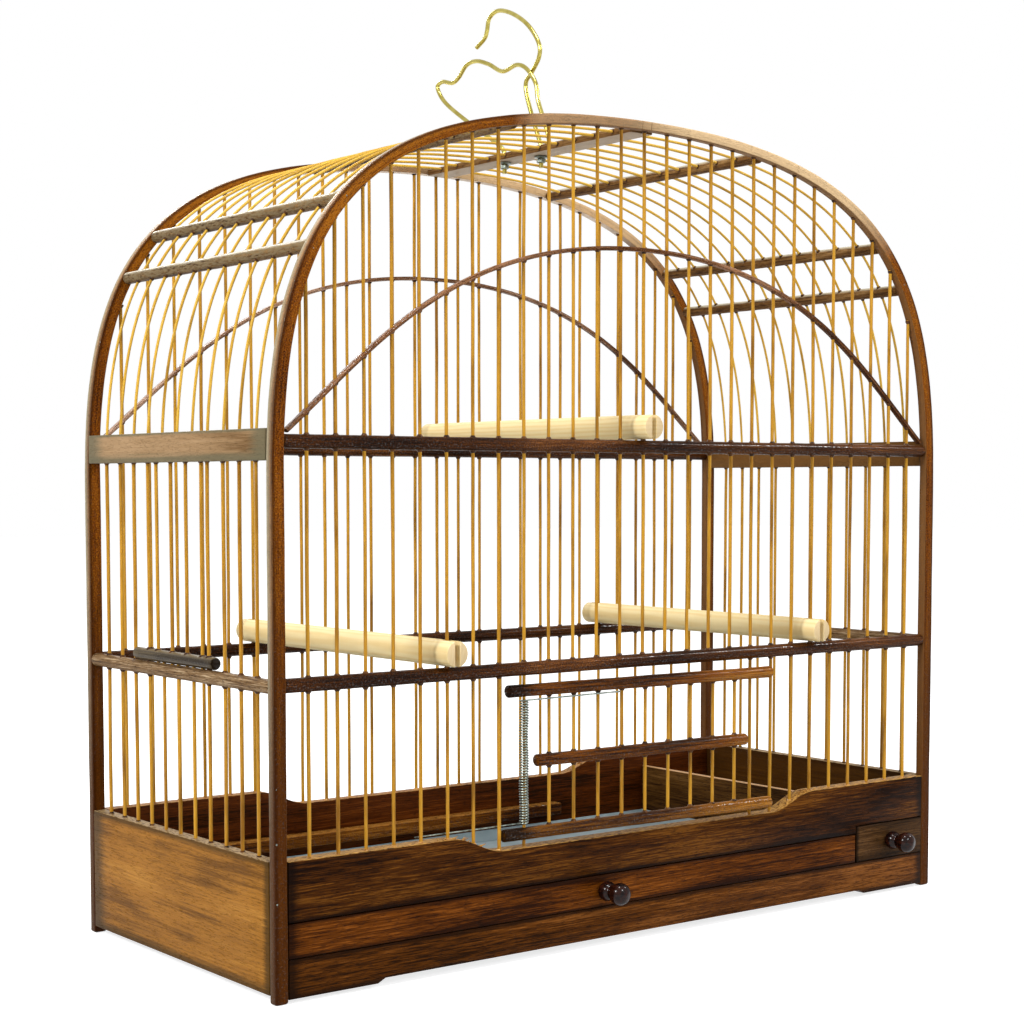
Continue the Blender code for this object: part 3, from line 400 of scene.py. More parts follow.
def brass():
    """Brass-plated wire, yellow-green gold with fine drawing lines."""
    f = Finish("brass_plate")
    cloud = f.noise(f.place((0.12, 0.12, 0.12)), 1.0, 3.0)
    line = f.noise(f.place((0.006, 3.0, 1.0), source="UV"), 1.0, 2.0)
    colour = f.mix(cloud.step(0.3, 0.7), (0.38, 0.310, 0.062), (0.53, 0.45, 0.125))
    return f.end(Base_Color=colour, Metallic=cloud * 0.05 + 0.95, Roughness=line * 0.06 + 0.17)


POST_JOINTS = (("X", POST_INNER, 0.006), ("X", -POST_INNER, 0.006))
ROD_STUB = {"margins": (("X", -0.0830, 0.017),), "rim": (0.004, 0.001, 0.0)}


def hoop_wood():
    """Red varnish, paler grey on the outer edge by rubbed varnish and painted sheen, a painted pale tan
    highlight over the crown, black at the feet.
    """
    # Outer edge, inner edge, painted crown highlight, crown underside.
    edges = ((0.36, 0.31, 0.20), (0.175, 0.082, 0.028), (0.72, 0.51, 0.28), (0.88, 0.74, 0.60))
    return wood("red_varnished_hoop", (0.34, 0.115, 0.007), (0.170, 0.044, 0.002), (0.028, 0.006, 0.000),
                source="UV", seed=14.0, fine=0.5, grit=1.0, drops=0.5, margins=(("Z", 0.060, 0.140),),
                rim=(0.055, 0.015, 0.001), edges=edges)


def panel_wood(name, seed, inward):
    """A tan panel, lighter than the front planks partly by painted light, darker along its joints by grime and
    painted shade, and nearly black by painted shade on the face that looks into the cage.
    """
    margins = (("Z", SILL_TOP, 0.0030), ("Z", PANEL_FOOT, 0.0045),
               ("Y", SPAN_FRONT, 0.006), ("Y", SPAN_REAR, 0.014))
    return wood(name, (0.45, 0.205, 0.036), (0.31, 0.130, 0.019), (0.130, 0.052, 0.008), grain="Y", seed=seed,
                figure=0.5, pores=0.28, fine=0.55, rings=0.22, margins=margins, rim=(0.055, 0.028, 0.006),
                # The face that looks into the cage: painted shade, nearly black.
                faces=(("Z", 1.0, (0.34, 0.23, 0.11), 1), ("X", inward, (0.036, 0.013, 0.002), 0)))


def upper_plank_wood(name, seed, inward):
    """A narrow plank, grey-brown partly by its own tone and partly by painted sheen, greenish towards its joints
    and reddish inside.
    """
    margins = (("Z", PLANK_FOOT, 0.0045), ("Z", PLANK_TOP, 0.0015),
               ("Y", SPAN_FRONT, 0.015), ("Y", SPAN_REAR, 0.018))
    # Grey-brown tones: partly the wood's own, partly painted sheen.
    return wood(name, (0.375, 0.240, 0.125), (0.290, 0.178, 0.085), (0.150, 0.080, 0.030), grain="Y", seed=seed,
                pores=0.12, fine=0.45, rings=0.2, margins=margins, rim=(0.130, 0.112, 0.064),
                faces=(("X", inward, (0.150, 0.066, 0.016), 0),))


FINISHES = {
    "hoop": hoop_wood(),
    "stick": wood("dark_varnished_stick", (0.20, 0.070, 0.016), (0.050, 0.0135, 0.001), (0.007, 0.0015, 0.000),
                  source="UV", fine=0.7, grit=0.8, gloss=0.05, drops=1.0),
    "front_arch": wood("brown_strip", (0.31, 0.150, 0.072), (0.110, 0.038, 0.010), (0.022, 0.006, 0.001),
                       source="UV", seed=2.0, grit=0.8, drops=0.8),
    "rear_arch": wood("pinkish_strip", (0.52, 0.34, 0.240), (0.200, 0.095, 0.045), (0.045, 0.015, 0.004),
                      source="UV", seed=8.0, grit=0.8, drops=0.7),
    "rod": wood("brown_varnished_rod", (0.42, 0.170, 0.022), (0.160, 0.046, 0.003), (0.020, 0.005, 0.000),
                source="UV", seed=3.0, fine=0.7, gloss=0.04, drops=1.0, **ROD_STUB),
    "low_rod": wood("amber_rod", (0.40, 0.165, 0.022), (0.170, 0.060, 0.006), (0.026, 0.007, 0.001),
                    source="UV", seed=3.0, fine=0.7, gloss=0.04, drops=1.0, **ROD_STUB),
    # The paler left face is painted sheen and the pale top a painted highlight.
    "left_roof_rod": wood("olive_rod", (0.29, 0.165, 0.062), (0.115, 0.060, 0.020), (0.026, 0.011, 0.004),
                          source="UV", seed=4.0, pores=0.7, grit=0.6, drops=0.3,
                          faces=(("X", -1.0, (0.195, 0.140, 0.072), 1), ("Z", 1.0, (0.45, 0.40, 0.29), 0))),
    # The pale top is a painted highlight.
    "right_roof_rod": wood("brown_rod", (0.31, 0.175, 0.064), (0.150, 0.070, 0.020), (0.032, 0.012, 0.003),
                           source="UV", seed=44.0, drops=0.4, faces=(("Z", 1.0, (0.47, 0.42, 0.30), 0),)),
    # Paler than the other sticks: partly its own tone, partly painted sheen.
    "side_stick": wood("sheen_pale_side_stick", (0.44, 0.320, 0.190), (0.180, 0.102, 0.043), (0.034, 0.014, 0.005),
                       source="UV", seed=5.0, pores=0.6, fine=1.4, drops=0.3),
    # Front planks: darker than the panels, partly by painted shade.
    "sill": wood("brown_plank", (0.150, 0.052, 0.006), (0.047, 0.0130, 0.001), (0.007, 0.0016, 0.000),
                 fine=1.3, margins=(("Z", SILL_FOOT, 0.0025), *POST_JOINTS),
                 faces=(("Z", 1.0, (0.42, 0.22, 0.050), 1),)),
    "inner_sill": wood("red_plank", (0.130, 0.033, 0.004), (0.056, 0.012, 0.001), (0.012, 0.003, 0.000),
                       seed=11.0, faces=(("Z", 1.0, (0.38, 0.19, 0.06), 1),)),
    "bottom": wood("rail_plank", (0.230, 0.078, 0.014), (0.086, 0.025, 0.002), (0.015, 0.004, 0.000),
                   seed=21.0, fine=1.2,
                   margins=(("Z", RAIL_TOP, 0.0022), ("Z", RAIL_FOOT, 0.0030), *POST_JOINTS)),
    "drawer": wood("drawer_plank", (0.270, 0.080, 0.010), (0.110, 0.029, 0.002), (0.019, 0.004, 0.000),
                   seed=33.0, fine=1.2,
                   margins=(("Z", SILL_FOOT, 0.0022), ("Z", RAIL_TOP, 0.0022), *POST_JOINTS)),
    "small_drawer": wood("small_drawer_plank", (0.110, 0.052, 0.018), (0.045, 0.020, 0.006),
                         (0.010, 0.004, 0.001), seed=47.0,
                         margins=(("Z", NOTCH_Z, 0.0022), ("Z", RAIL_TOP, 0.0022), ("X", NOTCH_X, 0.003))),
    "left_panel": panel_wood("tan_panel", 7.0, 1.0),
    "right_panel": panel_wood("tan_panel_right", 71.0, -1.0),
    "left_upper_plank": upper_plank_wood("upper_plank", 13.0, 1.0),
    "right_upper_plank": upper_plank_wood("right_upper_plank", 131.0, -1.0),
    "ridge": wood("ridge_plank", (0.24, 0.135, 0.050), (0.13, 0.060, 0.018), (0.03, 0.011, 0.003),
                  grain="Y", seed=17.0,
                  faces=(("Z", -1.0, (0.52, 0.42, 0.31), 0), ("Z", 1.0, (0.44, 0.34, 0.21), 0))),
    "runner": wood("olive_runner", (0.15, 0.072, 0.020), (0.075, 0.032, 0.007), (0.020, 0.007, 0.002),
                   grain="Y", seed=19.0, faces=(("Z", 1.0, (0.46, 0.27, 0.13), 0),)),
    "batten": wood("amber_batten", (0.27, 0.098, 0.012), (0.110, 0.032, 0.002), (0.020, 0.005, 0.001),
                   seed=27.0, drops=0.9, faces=(("Z", 1.0, (0.30, 0.130, 0.024), 1),)),
    "splinter": wood("torn_fibres", (0.62, 0.36, 0.11), (0.36, 0.17, 0.035), (0.05, 0.016, 0.002), seed=29.0),
    # The paler top is a painted reflection on the black gloss.
    "side_rod": wood("black_glossy_rod", (0.110, 0.080, 0.040), (0.020, 0.012, 0.005), (0.004, 0.002, 0.001),
                     source="UV", seed=9.0, pores=0.1, fine=0.4, gloss=0.2, drops=0.4,
                     faces=(("Z", 1.0, (0.150, 0.112, 0.062), 0),)),
    "cane": cane("amber_cane", (0.54, 0.270, 0.020), (0.30, 0.125, 0.007), (0.130, 0.050, 0.004)),
    "roof_cane": cane("pale_amber_cane", (0.70, 0.435, 0.060), (0.47, 0.250, 0.018), (0.22, 0.100, 0.009)),
    "varnish": pooled_varnish("dark_pools", (0.022, 0.008, 0.001), (0.100, 0.036, 0.006)),
    "glue": pooled_varnish("amber_pools", (0.16, 0.055, 0.008), (0.50, 0.26, 0.07)),
    "pine": pine(),
    "knob": knob_finish(),
    "zinc": zinc(),
    "sheet": galvanised(),
    "brass": brass(),
}


def unit(vectors):
    """Vectors scaled to length one."""
    return vectors / np.linalg.norm(vectors, axis=-1, keepdims=True)


def at(x, y, z):
    """Points from their coordinates, each a number or an array."""
    return np.stack(np.broadcast_arrays(x, y, z), -1).astype(float)


def travelled(path):
    """How far along a path each of its points lies."""
    steps = np.linalg.norm(np.diff(path, axis=-2), axis=-1)
    return np.concatenate([np.zeros_like(steps[..., :1]), np.cumsum(steps, -1)], -1)


def rise(value, start, reach):
    """0 up to start, 1 from start + reach on, straight between."""
    return np.clip((value - start) / reach, 0, 1)


def carry(path, side):
    """Two axes square to a path at each of its points: one nearest to side, one across both."""
    ahead = unit(np.gradient(path, axis=-2))
    first = unit(side - np.sum(ahead * side, -1, keepdims=True) * ahead)
    return first, np.cross(ahead, first)


def laid(section, first, second):
    """A section's (x, y) points laid on two axes, or on a pair of axes for each ring."""
    return section[..., :1] * first[..., None, :] + section[..., 1:] * second[..., None, :]


def circle(sides):
    """Unit circle points, counterclockwise."""
    turn = np.arange(sides) * 2 * math.pi / sides
    return np.stack([np.cos(turn), np.sin(turn)], -1)


def rounded_corners():
    """A rounded rectangle's points: the signs of each one's corner, and its place on that corner's circle."""
    arcs = circle(16).reshape(4, 4, 2)
    arcs = np.concatenate([arcs, np.roll(arcs, -1, 0)[:, :1]], 1)
    signs = np.array([[1, 1], [-1, 1], [-1, -1], [1, -1]])
    return np.repeat(signs, arcs.shape[1], 0), arcs.reshape(-1, 2)


def build(name, rings, finish, body, numbers=None, replaces=(), smooth=42.0):
    """A mesh of closed tubes: rings is tubes x rings x points x 3, each tube capped at both ends.

    Neighbouring rings are joined by quads that face outwards, and a UV map holds metres along and around.
    numbers are point values that the finish reads, one for each point of rings.
    """
    rings = np.asarray(rings, float)
    if rings.ndim == 3:
        rings = rings[None]
    tubes, count, sides, _ = rings.shape
    points = rings.reshape(-1, 3)
    index = np.arange(len(points)).reshape(tubes, count, sides)
    following = np.roll(index, -1, 2)
    quads = np.stack([index[:, :-1], following[:, :-1], following[:, 1:], index[:, 1:]], -1).reshape(-1, 4)
    caps = np.concatenate([index[:, 0, ::-1], index[:, -1]])
    mesh = bpy.data.meshes.new(name)
    mesh.from_pydata(points.tolist(), [], quads.tolist() + caps.tolist())

    tube_gap, cap_skew = 0.037, 0.3
    along = travelled(rings.mean(2))
    edge = np.linalg.norm(np.roll(rings, -1, 2) - rings, axis=-1).mean(1)
    around = np.concatenate([np.zeros((tubes, 1)), np.cumsum(edge, 1)], 1)
    around = around + np.arange(tubes)[:, None] * tube_gap
    low_u, high_u = along[:, :-1, None], along[:, 1:, None]
    low_v, high_v = around[:, None, :-1], around[:, None, 1:]
    corners = np.broadcast_arrays(low_u, low_v, low_u, high_v, high_u, high_v, high_u, low_v)
    cap_points = points[caps.ravel()]
    cap_uv = cap_points[:, [0, 2]] + cap_points[:, [1]] * cap_skew
    uv = np.concatenate([np.stack(corners, -1).reshape(-1, 2), cap_uv])
    mesh.uv_layers.new(name="UVMap").data.foreach_set("uv", uv.astype(np.float32).ravel())

    for key, values in (numbers or {}).items():
        layer = mesh.attributes.new(key, "FLOAT", "POINT")
        layer.data.foreach_set("value", np.broadcast_to(values, index.shape).astype(np.float32).ravel())
    mesh.shade_smooth()
    mesh.set_sharp_from_angle(angle=math.radians(smooth))
    return adopt(name, mesh, finish, body, replaces)


def adopt(name, mesh, finish, body, replaces=()):
    """Puts a finished mesh in the scene and tells the frame what it rides on and stands for."""
    mesh.materials.clear()
    mesh.materials.append(FINISHES[finish])
    piece = bpy.data.objects.new(name, mesh)
    bpy.context.scene.collection.objects.link(piece)
    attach(piece, body)
    if replaces:
        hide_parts(*replaces)
    return piece


def round_end(radius, steps=4):
    """Distances from a piece's end and the corner radius left there, on a quarter circle."""
    turn = np.linspace(1.35, 0.0, steps)
    return radius * (1 - np.sin(turn)), radius * np.cos(turn)


def stations(length, step, radius):
    """Places along a piece, crowded at its rounded ends, with the corner radius at each."""
    near, left = round_end(radius)
    inner = np.linspace(near[-1], length - near[-1], max(int(length / step), 2) + 1)[1:-1]
    places = np.concatenate([near, inner, length - near[::-1]])
    radii = np.concatenate([left, np.full(len(inner), radius), left[::-1]])
    return places, radii


def ripple(shape, rng, waves, longest, shortest):
    """A function of metres along and the angle around: sines with seeded phases, smaller as they shorten."""
    lengths = np.geomspace(longest, shortest, waves)
    phases = rng.uniform(0, 2 * math.pi, (waves, *shape))
    whole = rng.integers(0, 4, waves)
    weights = (lengths / longest) ** 0.5
    weights = weights / weights.sum()

    def value(along, around):
        total = 0.0
        for length, phase, turns, weight in zip(lengths, phases, whole, weights):
            total = total + weight * np.sin(2 * math.pi * along / length + turns * around + phase)
        return total

    return value


def plank(name, finish, body="cage", radius=0.0005):
    """A sawn plank in its solid's box: a rectangle with softened edges, carried along its longest side."""
    low, high = (np.array(corner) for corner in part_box(name))
    size = high - low
    axis = int(np.argmax(size))
    ahead, first = np.eye(3)[axis], np.eye(3)[(axis + 1) % 3]
    second = np.cross(ahead, first)
    places, radii = stations(size[axis], 0.02, radius)
    half = np.abs([size @ first, size @ second]) / 2 - radius
    signs, arcs = rounded_corners()
    section = signs * half + radii[:, None, None] * arcs
    middle = (low + high) / 2 - ahead * size[axis] / 2
    rings = middle + places[:, None, None] * ahead + laid(section, first, second)
    return build(name, rings, finish, body, replaces=(name,))


def outline_plank(name, outline, finish):
    """A plank sawn to an outline in (x, z) and carried through its thickness, its arrises softened."""
    radius = 0.0004
    low_y, high_y = (corner.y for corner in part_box(name))
    outline = np.array(outline, float)
    before_x, before_z = np.roll(outline, 1, 0).T
    if np.sum(before_x * outline[:, 1] - outline[:, 0] * before_z) > 0:
        outline = outline[::-1]
    before = unit(outline - np.roll(outline, 1, 0))
    after = unit(np.roll(outline, -1, 0) - outline)
    normal = unit(np.stack([-(before + after)[:, 1], (before + after)[:, 0]], -1))
    square = np.stack([-after[:, 1], after[:, 0]], -1)
    miter = normal / np.clip(np.sum(normal * square, -1, keepdims=True), 0.5, 1.0)
    places, radii = stations(high_y - low_y, 0.01, radius)
    points = outline - (radius - radii)[:, None, None] * miter
    rings = at(points[..., 0], (low_y + places)[:, None], points[..., 1])
    return build(name, rings, finish, "cage", replaces=(name,), smooth=35.0)


def stick(name, start, end, radius, finish, seed, body="cage", rough=0.06):
    """A hand-shaped round stick: a circle carried from start to end, a little thinner here and there."""
    start, end = np.array(start, float), np.array(end, float)
    length = np.linalg.norm(end - start)
    places, radii = stations(length, 0.003, min(0.0007, radius * 0.3))
    path = start + places[:, None] * unit(end - start)
    sides = 22
    turn = np.arange(sides) * 2 * math.pi / sides
    swell = ripple((), np.random.default_rng(seed), 7, 0.11, 0.006)(places[:, None], turn)
    size = radius * (1 - rough / 2 + rough / 2 * swell) - (radii.max() - radii)[:, None]
    rings = path[:, None] + size[..., None] * laid(circle(sides), *carry(path, Z))
    return build(name, rings, finish, body, replaces=(name,))


def bars(name, paths, body, seed, radius=BAR_RADIUS, finish="cane", wander=0.00016, replaces=()):
    """Cane bars: a circle carried along each path, each bar with its own thickness, slight bends and tone."""
    rng = np.random.default_rng(seed)
    count = len(paths)
    along = travelled(paths)
    first, second = carry(paths, Y)
    for axis in (first, second):
        paths = paths + wander * ripple((count, 1), rng, 3, 0.3, 0.07)(along, 0.0)[..., None] * axis
    size = radius * rng.uniform(0.90, 1.0, (count, 1, 1))
    size = size * (1 - 0.03 * (1 + ripple((count, 1), rng, 4, 0.08, 0.01)(along, 0.0))[..., None])
    rings = paths[:, :, None] + size[..., None] * laid(circle(10), first, second)
    tones = rng.uniform(0, 1, (count, 1, 1))
    return build(name, rings, finish, body, numbers={"tone": tones}, replaces=replaces)


def straight(feet, tops, points=22):
    """Paths from each foot to its top."""
    share = np.linspace(0, 1, points)[:, None]
    return feet[:, None] * (1 - share) + tops[:, None] * share


def beads(name, spots, body, seed, finish="varnish", size=0.00145, tall=0.0008):
    """Varnish pooled round each bar: a small fillet from the wood's surface out along the bar.

    spots are (points, directions) of the bars where they leave the wood.
    """
    rng = np.random.default_rng(seed)
    centres = np.concatenate([points for points, _ in spots])
    directions = unit(np.concatenate([np.broadcast_to(way, points.shape) for points, way in spots]))
    heights = np.array([-0.9, -0.1, 0.35, 0.75, 1.0]) * tall
    widths = np.array([1.0, 1.0, 0.84, 0.70, 0.62]) * size
    stretch = rng.uniform(0.72, 1.12, (len(centres), 1, 1))
    side = np.where(np.abs(directions @ X)[:, None] < 0.8, X, Y)
    first = unit(np.cross(directions, side))
    spread = laid(circle(9), first, np.cross(directions, first))
    rings = (centres[:, None, None] + stretch[..., None] * heights[:, None, None] * directions[:, None, None]
             + (widths * (0.9 + 0.1 * stretch[..., 0]))[..., None, None] * spread[:, None])
    return build(name, rings, finish, body)


def bezier(points, t):
    """A cubic with four (x, z) points, at every t."""
    t = np.asarray(t, float)[:, None]
    s = 1 - t
    a, b, c, d = (np.array(p) for p in points)
    return s ** 3 * a + 3 * s * s * t * b + 3 * s * t * t * c + t ** 3 * d


def inner_line(points, t, distance):
    """Points of a right half at a distance inside it, square to it."""
    line = bezier(points, t)
    ahead = unit(bezier(points, t + 1e-4) - bezier(points, t - 1e-4))
    return line + np.stack([-ahead[:, 1], ahead[:, 0]], -1) * np.reshape(distance, (-1, 1))


def over(points, x):
    """The height of a right half over x, by steps along it."""
    order = np.argsort(points[:, 0])
    return np.interp(np.abs(x), points[order, 0], points[order, 1])


def arch_points():
    """The inner arch's middle line on its right half: steep from the upper rail's end, level at the top."""
    low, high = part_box("front_inner_arch")
    foot_x, foot_z = high.x - ARCH_THICKNESS / 2, low.z
    pull_x = ARCH_PULL / math.hypot(1.0, ARCH_SLOPE)
    return ((foot_x, foot_z), (foot_x - pull_x, foot_z + pull_x * ARCH_SLOPE),
            (ARCH_SHOULDER, ARCH_TOP), (0.0, ARCH_TOP))


T_FINE = np.linspace(0, 1, 400)
HOOP_INNER = inner_line(SHOULDER, T_FINE, LEG_WIDTH + (CROWN_WIDTH - LEG_WIDTH) * T_FINE)
ARCH = arch_points()
ARCH_LINE = bezier(ARCH, T_FINE)


def hoop(name, y, seed):
    """A bent hoop: a rounded rectangle carried up one post, over the crown and down the other.

    It narrows towards the crown, and it carries these numbers. outer and inner are 1 on those edges, the first
    less towards the front; outer lays a pale edge, partly rubbed varnish and partly painted sheen. arris is 1 at
    the front's outer arris, where it lays painted shade. A number of its own rises over the right shoulder and
    lays a painted highlight there. under is 1 on the underside of the rear hoop's crown.
    """
    rounding, corner, shaved = 0.0012, 0.0006, 0.00012
    t = np.linspace(0, 1, 70)
    near, radii = round_end(rounding, 5)
    leg = np.concatenate([near, np.linspace(near[-1], SHOULDER_START, 40)[1:-1]])
    line = np.concatenate([np.stack([np.full(len(leg), HALF_WIDTH), leg], -1), bezier(SHOULDER, t)])
    wide = np.concatenate([np.full(len(leg), LEG_WIDTH), LEG_WIDTH + (CROWN_WIDTH - LEG_WIDTH) * t])
    inset = np.concatenate([rounding - radii, np.zeros(len(line) - len(radii))])
    line = np.concatenate([line, line[-2::-1] * (-1, 1)])[::-1]
    wide, inset = (np.concatenate([half, half[-2::-1]])[::-1] for half in (wide, inset))
    ahead = unit(np.gradient(line, axis=0))
    ahead[0], ahead[-1] = (0, 1), (0, -1)
    inward = np.stack([ahead[:, 1], -ahead[:, 0]], -1)
    shave = shaved * (1 + ripple((), np.random.default_rng(seed), 6, 0.16, 0.012)(travelled(line), 0.0))
    signs, arcs = rounded_corners()
    half = np.stack([wide / 2 - inset - shave - corner, HOOP_DEPTH / 2 - inset - shave * 0.5 - corner], -1)
    section = signs * half[:, None] + corner * arcs
    middle = line + inward * (wide / 2)[:, None]
    first = at(-inward[:, 0], 0.0, -inward[:, 1])
    second = np.cross(at(ahead[:, 0], 0.0, ahead[:, 1]), first)
    rings = at(middle[:, 0], y, middle[:, 1])[:, None] + laid(section, first, second)

    x, z, across = line[:, :1], line[:, 1:], arcs[:, 0]
    back = (rings[..., 1] - y) / HOOP_DEPTH + 0.5
    low = np.maximum(rise(z, 0.050, 0.130), 0.12)
    # Where the painted highlight lies: over the crown's right shoulder, weaker on the rear hoop.
    crown_highlight = (0.4 * rise(x, -0.082, 0.015) + 0.6 * rise(x, -0.010, 0.035)) * rise(z, 0.345, 0.028)
    crown_highlight = crown_highlight * (1.0 if y < MIDDLE else 0.75)
    # outer lays painted sheen with rubbed varnish; arris lays painted shade.
    numbers = {"outer": (across > 0.6) * np.clip(back * 1.3 - 0.1, 0.12, 1.0) * low,
               "inner": (across < -0.6) * (0.35 + 0.65 * low),
               "under": (across < -0.6) * rise(z, 0.368, 0.012) * (y > MIDDLE),
               "crown_highlight": crown_highlight, "arris": (signs[:, 0] > 0) * (1.0 - back) * (1.0 - crown_highlight)}
    return build(name, rings, "hoop", "cage", numbers, (name,), 50.0)


def arch(name, y, seed):
    """The thin bent strip inside a gable: a rounded rectangle carried over the arch."""
    right = bezier(ARCH, np.linspace(0, 1, 70))
    line = np.concatenate([right * (-1, 1), right[-2::-1]])
    path = at(line[:, 0], y, line[:, 1])
    thin = 1 - 0.05 * (1 + ripple((), np.random.default_rng(seed), 6, 0.09, 0.01)(travelled(line), 0.0))
    ring = circle(16)
    section = ring / np.max(np.abs(ring), -1, keepdims=True) ** 0.55 * (ARCH_DEPTH / 2, ARCH_THICKNESS / 2)
    rings = path[:, None] + thin[:, None, None] * laid(section, *carry(path, Y))
    finish = "front_arch" if y < MIDDLE else "rear_arch"
    return build(name, rings, finish, "cage", replaces=(name,))


def sill_height(x):
    """The sill's top over x: level, with a shallow dip between two smooth ramps."""
    share = np.clip((DIP_SHOULDER - np.abs(x)) / (DIP_SHOULDER - DIP_FLOOR), 0, 1)
    return SILL_TOP - DIP * (1 - np.cos(math.pi * share)) / 2


def sill_outline(low, high, notched):
    """A sill's outline, its top following the dip, with the small drawer's recess where it is notched."""
    level, ramp = np.linspace(high.x, DIP_SHOULDER, 6)[:-1], np.linspace(DIP_SHOULDER, DIP_FLOOR, 18)
    right = np.concatenate([level, ramp])
    xs = np.concatenate([right, np.linspace(DIP_FLOOR, -DIP_FLOOR, 12)[1:-1], -right[::-1]])
    top = np.stack([xs, sill_height(xs)], -1).tolist()
    recess = [(NOTCH_X, low.z), (NOTCH_X, NOTCH_Z), (high.x, NOTCH_Z)] if notched else [(high.x, low.z)]
    return [(low.x, low.z), *recess, *top]


def base():
    """Sills, bottom rail, panels, runners and what the drawers slide between."""
    for node, finish, notched in (("front_sill", "sill", True), ("rear_sill", "inner_sill", False)):
        outline_plank(node, sill_outline(*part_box(node), notched), finish)
    low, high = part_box("front_bottom_rail")
    relief, foot = 0.0020, HALF_WIDTH - 0.0545
    edge = [(foot - relief, low.z + relief), (foot + relief, low.z), (high.x, low.z), (high.x, high.z)]
    outline_plank("front_bottom_rail", [(-x, z) for x, z in edge[::-1]] + edge, "bottom")
    for node in ("left_panel", "right_panel", "left_upper_plank", "right_upper_plank"):
        plank(node, node)
    plank("ridge_board", "ridge")
    for node in ("left_runner", "right_runner", "centre_runner", "partition"):
        plank(node, "runner")
    plank("rear_batten", "batten", radius=0.0010)


def splinters():
    """Torn fibres on the front sill, where the saw left it at both ends of the dip: short tapering prisms."""
    low_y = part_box("front_sill")[0].y
    rng = np.random.default_rng(17)
    count = 40
    side = np.where(np.arange(count) % 2, 1.0, -1.0)
    x = side * rng.normal(DIP_SHOULDER - 0.005, 0.006, count)
    root = at(x, rng.uniform(low_y + 0.0006, low_y + 0.0040, count), sill_height(x) - 0.0004)
    tip = root + rng.uniform((-0.0050, -0.0004, 0.0007), (0.0050, 0.0010, 0.0018), (count, 3))
    path = np.stack([root, tip], 1)
    width = rng.uniform(0.00025, 0.00060, (count, 1, 1, 1)) * np.array([1.0, 0.25])[:, None, None]
    rings = path[:, :, None] + width * laid(circle(4), *carry(path, Y))
    build("sill_splinters", rings, "splinter", "cage")


def hoop_marks():
    """The front hoop's scarf joints and brads: thin dark seams across its face, domed heads sunk in it."""
    crown = inner_line(SHOULDER, T_FINE, CROWN_WIDTH / 2 + (LEG_WIDTH - CROWN_WIDTH) / 2 * (1 - T_FINE))
    y = FRONT + 0.0001
    middle = at(np.array(SCARF_PLACES), y, over(crown, SCARF_PLACES))
    lean, reach = np.array([0.10, 0.0, 1.0]), np.array([-1.0, 1.0])[:, None] * CROWN_WIDTH * 0.40
    path = middle[:, None] + lean * reach
    seam = circle(6) * (0.00004, 0.00016)
    build("hoop_seams", path[:, :, None] + laid(seam, *carry(path, Y)), "varnish", "cage")
    x = np.concatenate([BRAD_PLACES, np.full(len(POST_BRADS), -HALF_WIDTH + 0.0012)])
    middle = at(x, y, np.concatenate([over(crown, BRAD_PLACES), POST_BRADS]))
    dome = np.array([[0.00045, 0.0003], [0.00045, 0.0], [0.00032, -0.00004], [0.00010, -0.00007]])[:, None]
    rings = middle[:, None, None] + dome[..., :1] * laid(circle(12), X, Z) + dome[..., 1:] * Y
    build("hoop_brads", rings, "zinc", "cage")



def catmull(points, places):
    """A smooth curve through points, at places counted in points."""
    points = np.asarray(points, float)
    padded = np.concatenate([2 * points[:1] - points[1:2], points, 2 * points[-1:] - points[-2:-1]])
    cell = np.minimum(places.astype(int), len(points) - 2)
    t = (places - cell)[:, None]
    p, q, r, w = (padded[cell + k] for k in range(4))
    return 0.5 * (2 * q + (r - p) * t + (2 * p - 5 * q + 4 * r - w) * t * t + (3 * q - p - 3 * r + w) * t ** 3)


def knob(body):
    """A drawer's turned knob: collar, neck and ball as (radius, height), carried round an axis to the front."""
    low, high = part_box(body + "_knob")
    collar, ball, neck, reach = 0.0048, 0.0054, 0.0031, high.y - low.y
    profile = np.array([(collar * 0.80, 0.0), (collar * 0.96, 0.0013), (collar, 0.0028),
                        (collar * 0.88, 0.0046), (neck * 1.05, 0.0062), (neck * 1.12, 0.0072),
                        (ball * 0.82, 0.0085), (ball * 0.99, 0.0108), (ball * 0.97, 0.0130),
                        (ball * 0.74, 0.0149),
                        (ball * 0.34, reach - 0.0005), (0.0001, reach)])
    spans = len(profile) - 1
    curve = catmull(profile, np.linspace(0, spans, 8 * spans + 1))[:, None]
    centre = np.array([(low.x + high.x) / 2, high.y, (low.z + high.z) / 2])
    rings = centre - curve[..., 1:] * Y + np.maximum(curve[..., :1], 0.00008) * laid(circle(40), -X, -Z)
    build(body + "_knob_turned", rings, "knob", body, replaces=(body + "_knob",), smooth=60.0)


def drawers():
    """The seed tray and the small drawer: fronts, turned knobs, sheet tray and wooden box."""
    plank("main_drawer_front", "drawer", "main_drawer")
    plank("small_drawer_front", "small_drawer", "small_drawer")
    knob("main_drawer")
    knob("small_drawer")
    for node, finish in (("seed_tray", "sheet"), ("small_drawer_box", "runner")):
        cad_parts[node].data.materials.clear()
        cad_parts[node].data.materials.append(FINISHES[finish])


def bar_x(number):
    """Where a gable's bar stands, numbered from 1 at the left."""
    return (number - (FRONT_BARS + 1) / 2) * FRONT_PITCH


def side_y(step):
    """Where a side wall's bar stands, in steps from its middle one."""
    return MIDDLE + step * SIDE_PITCH


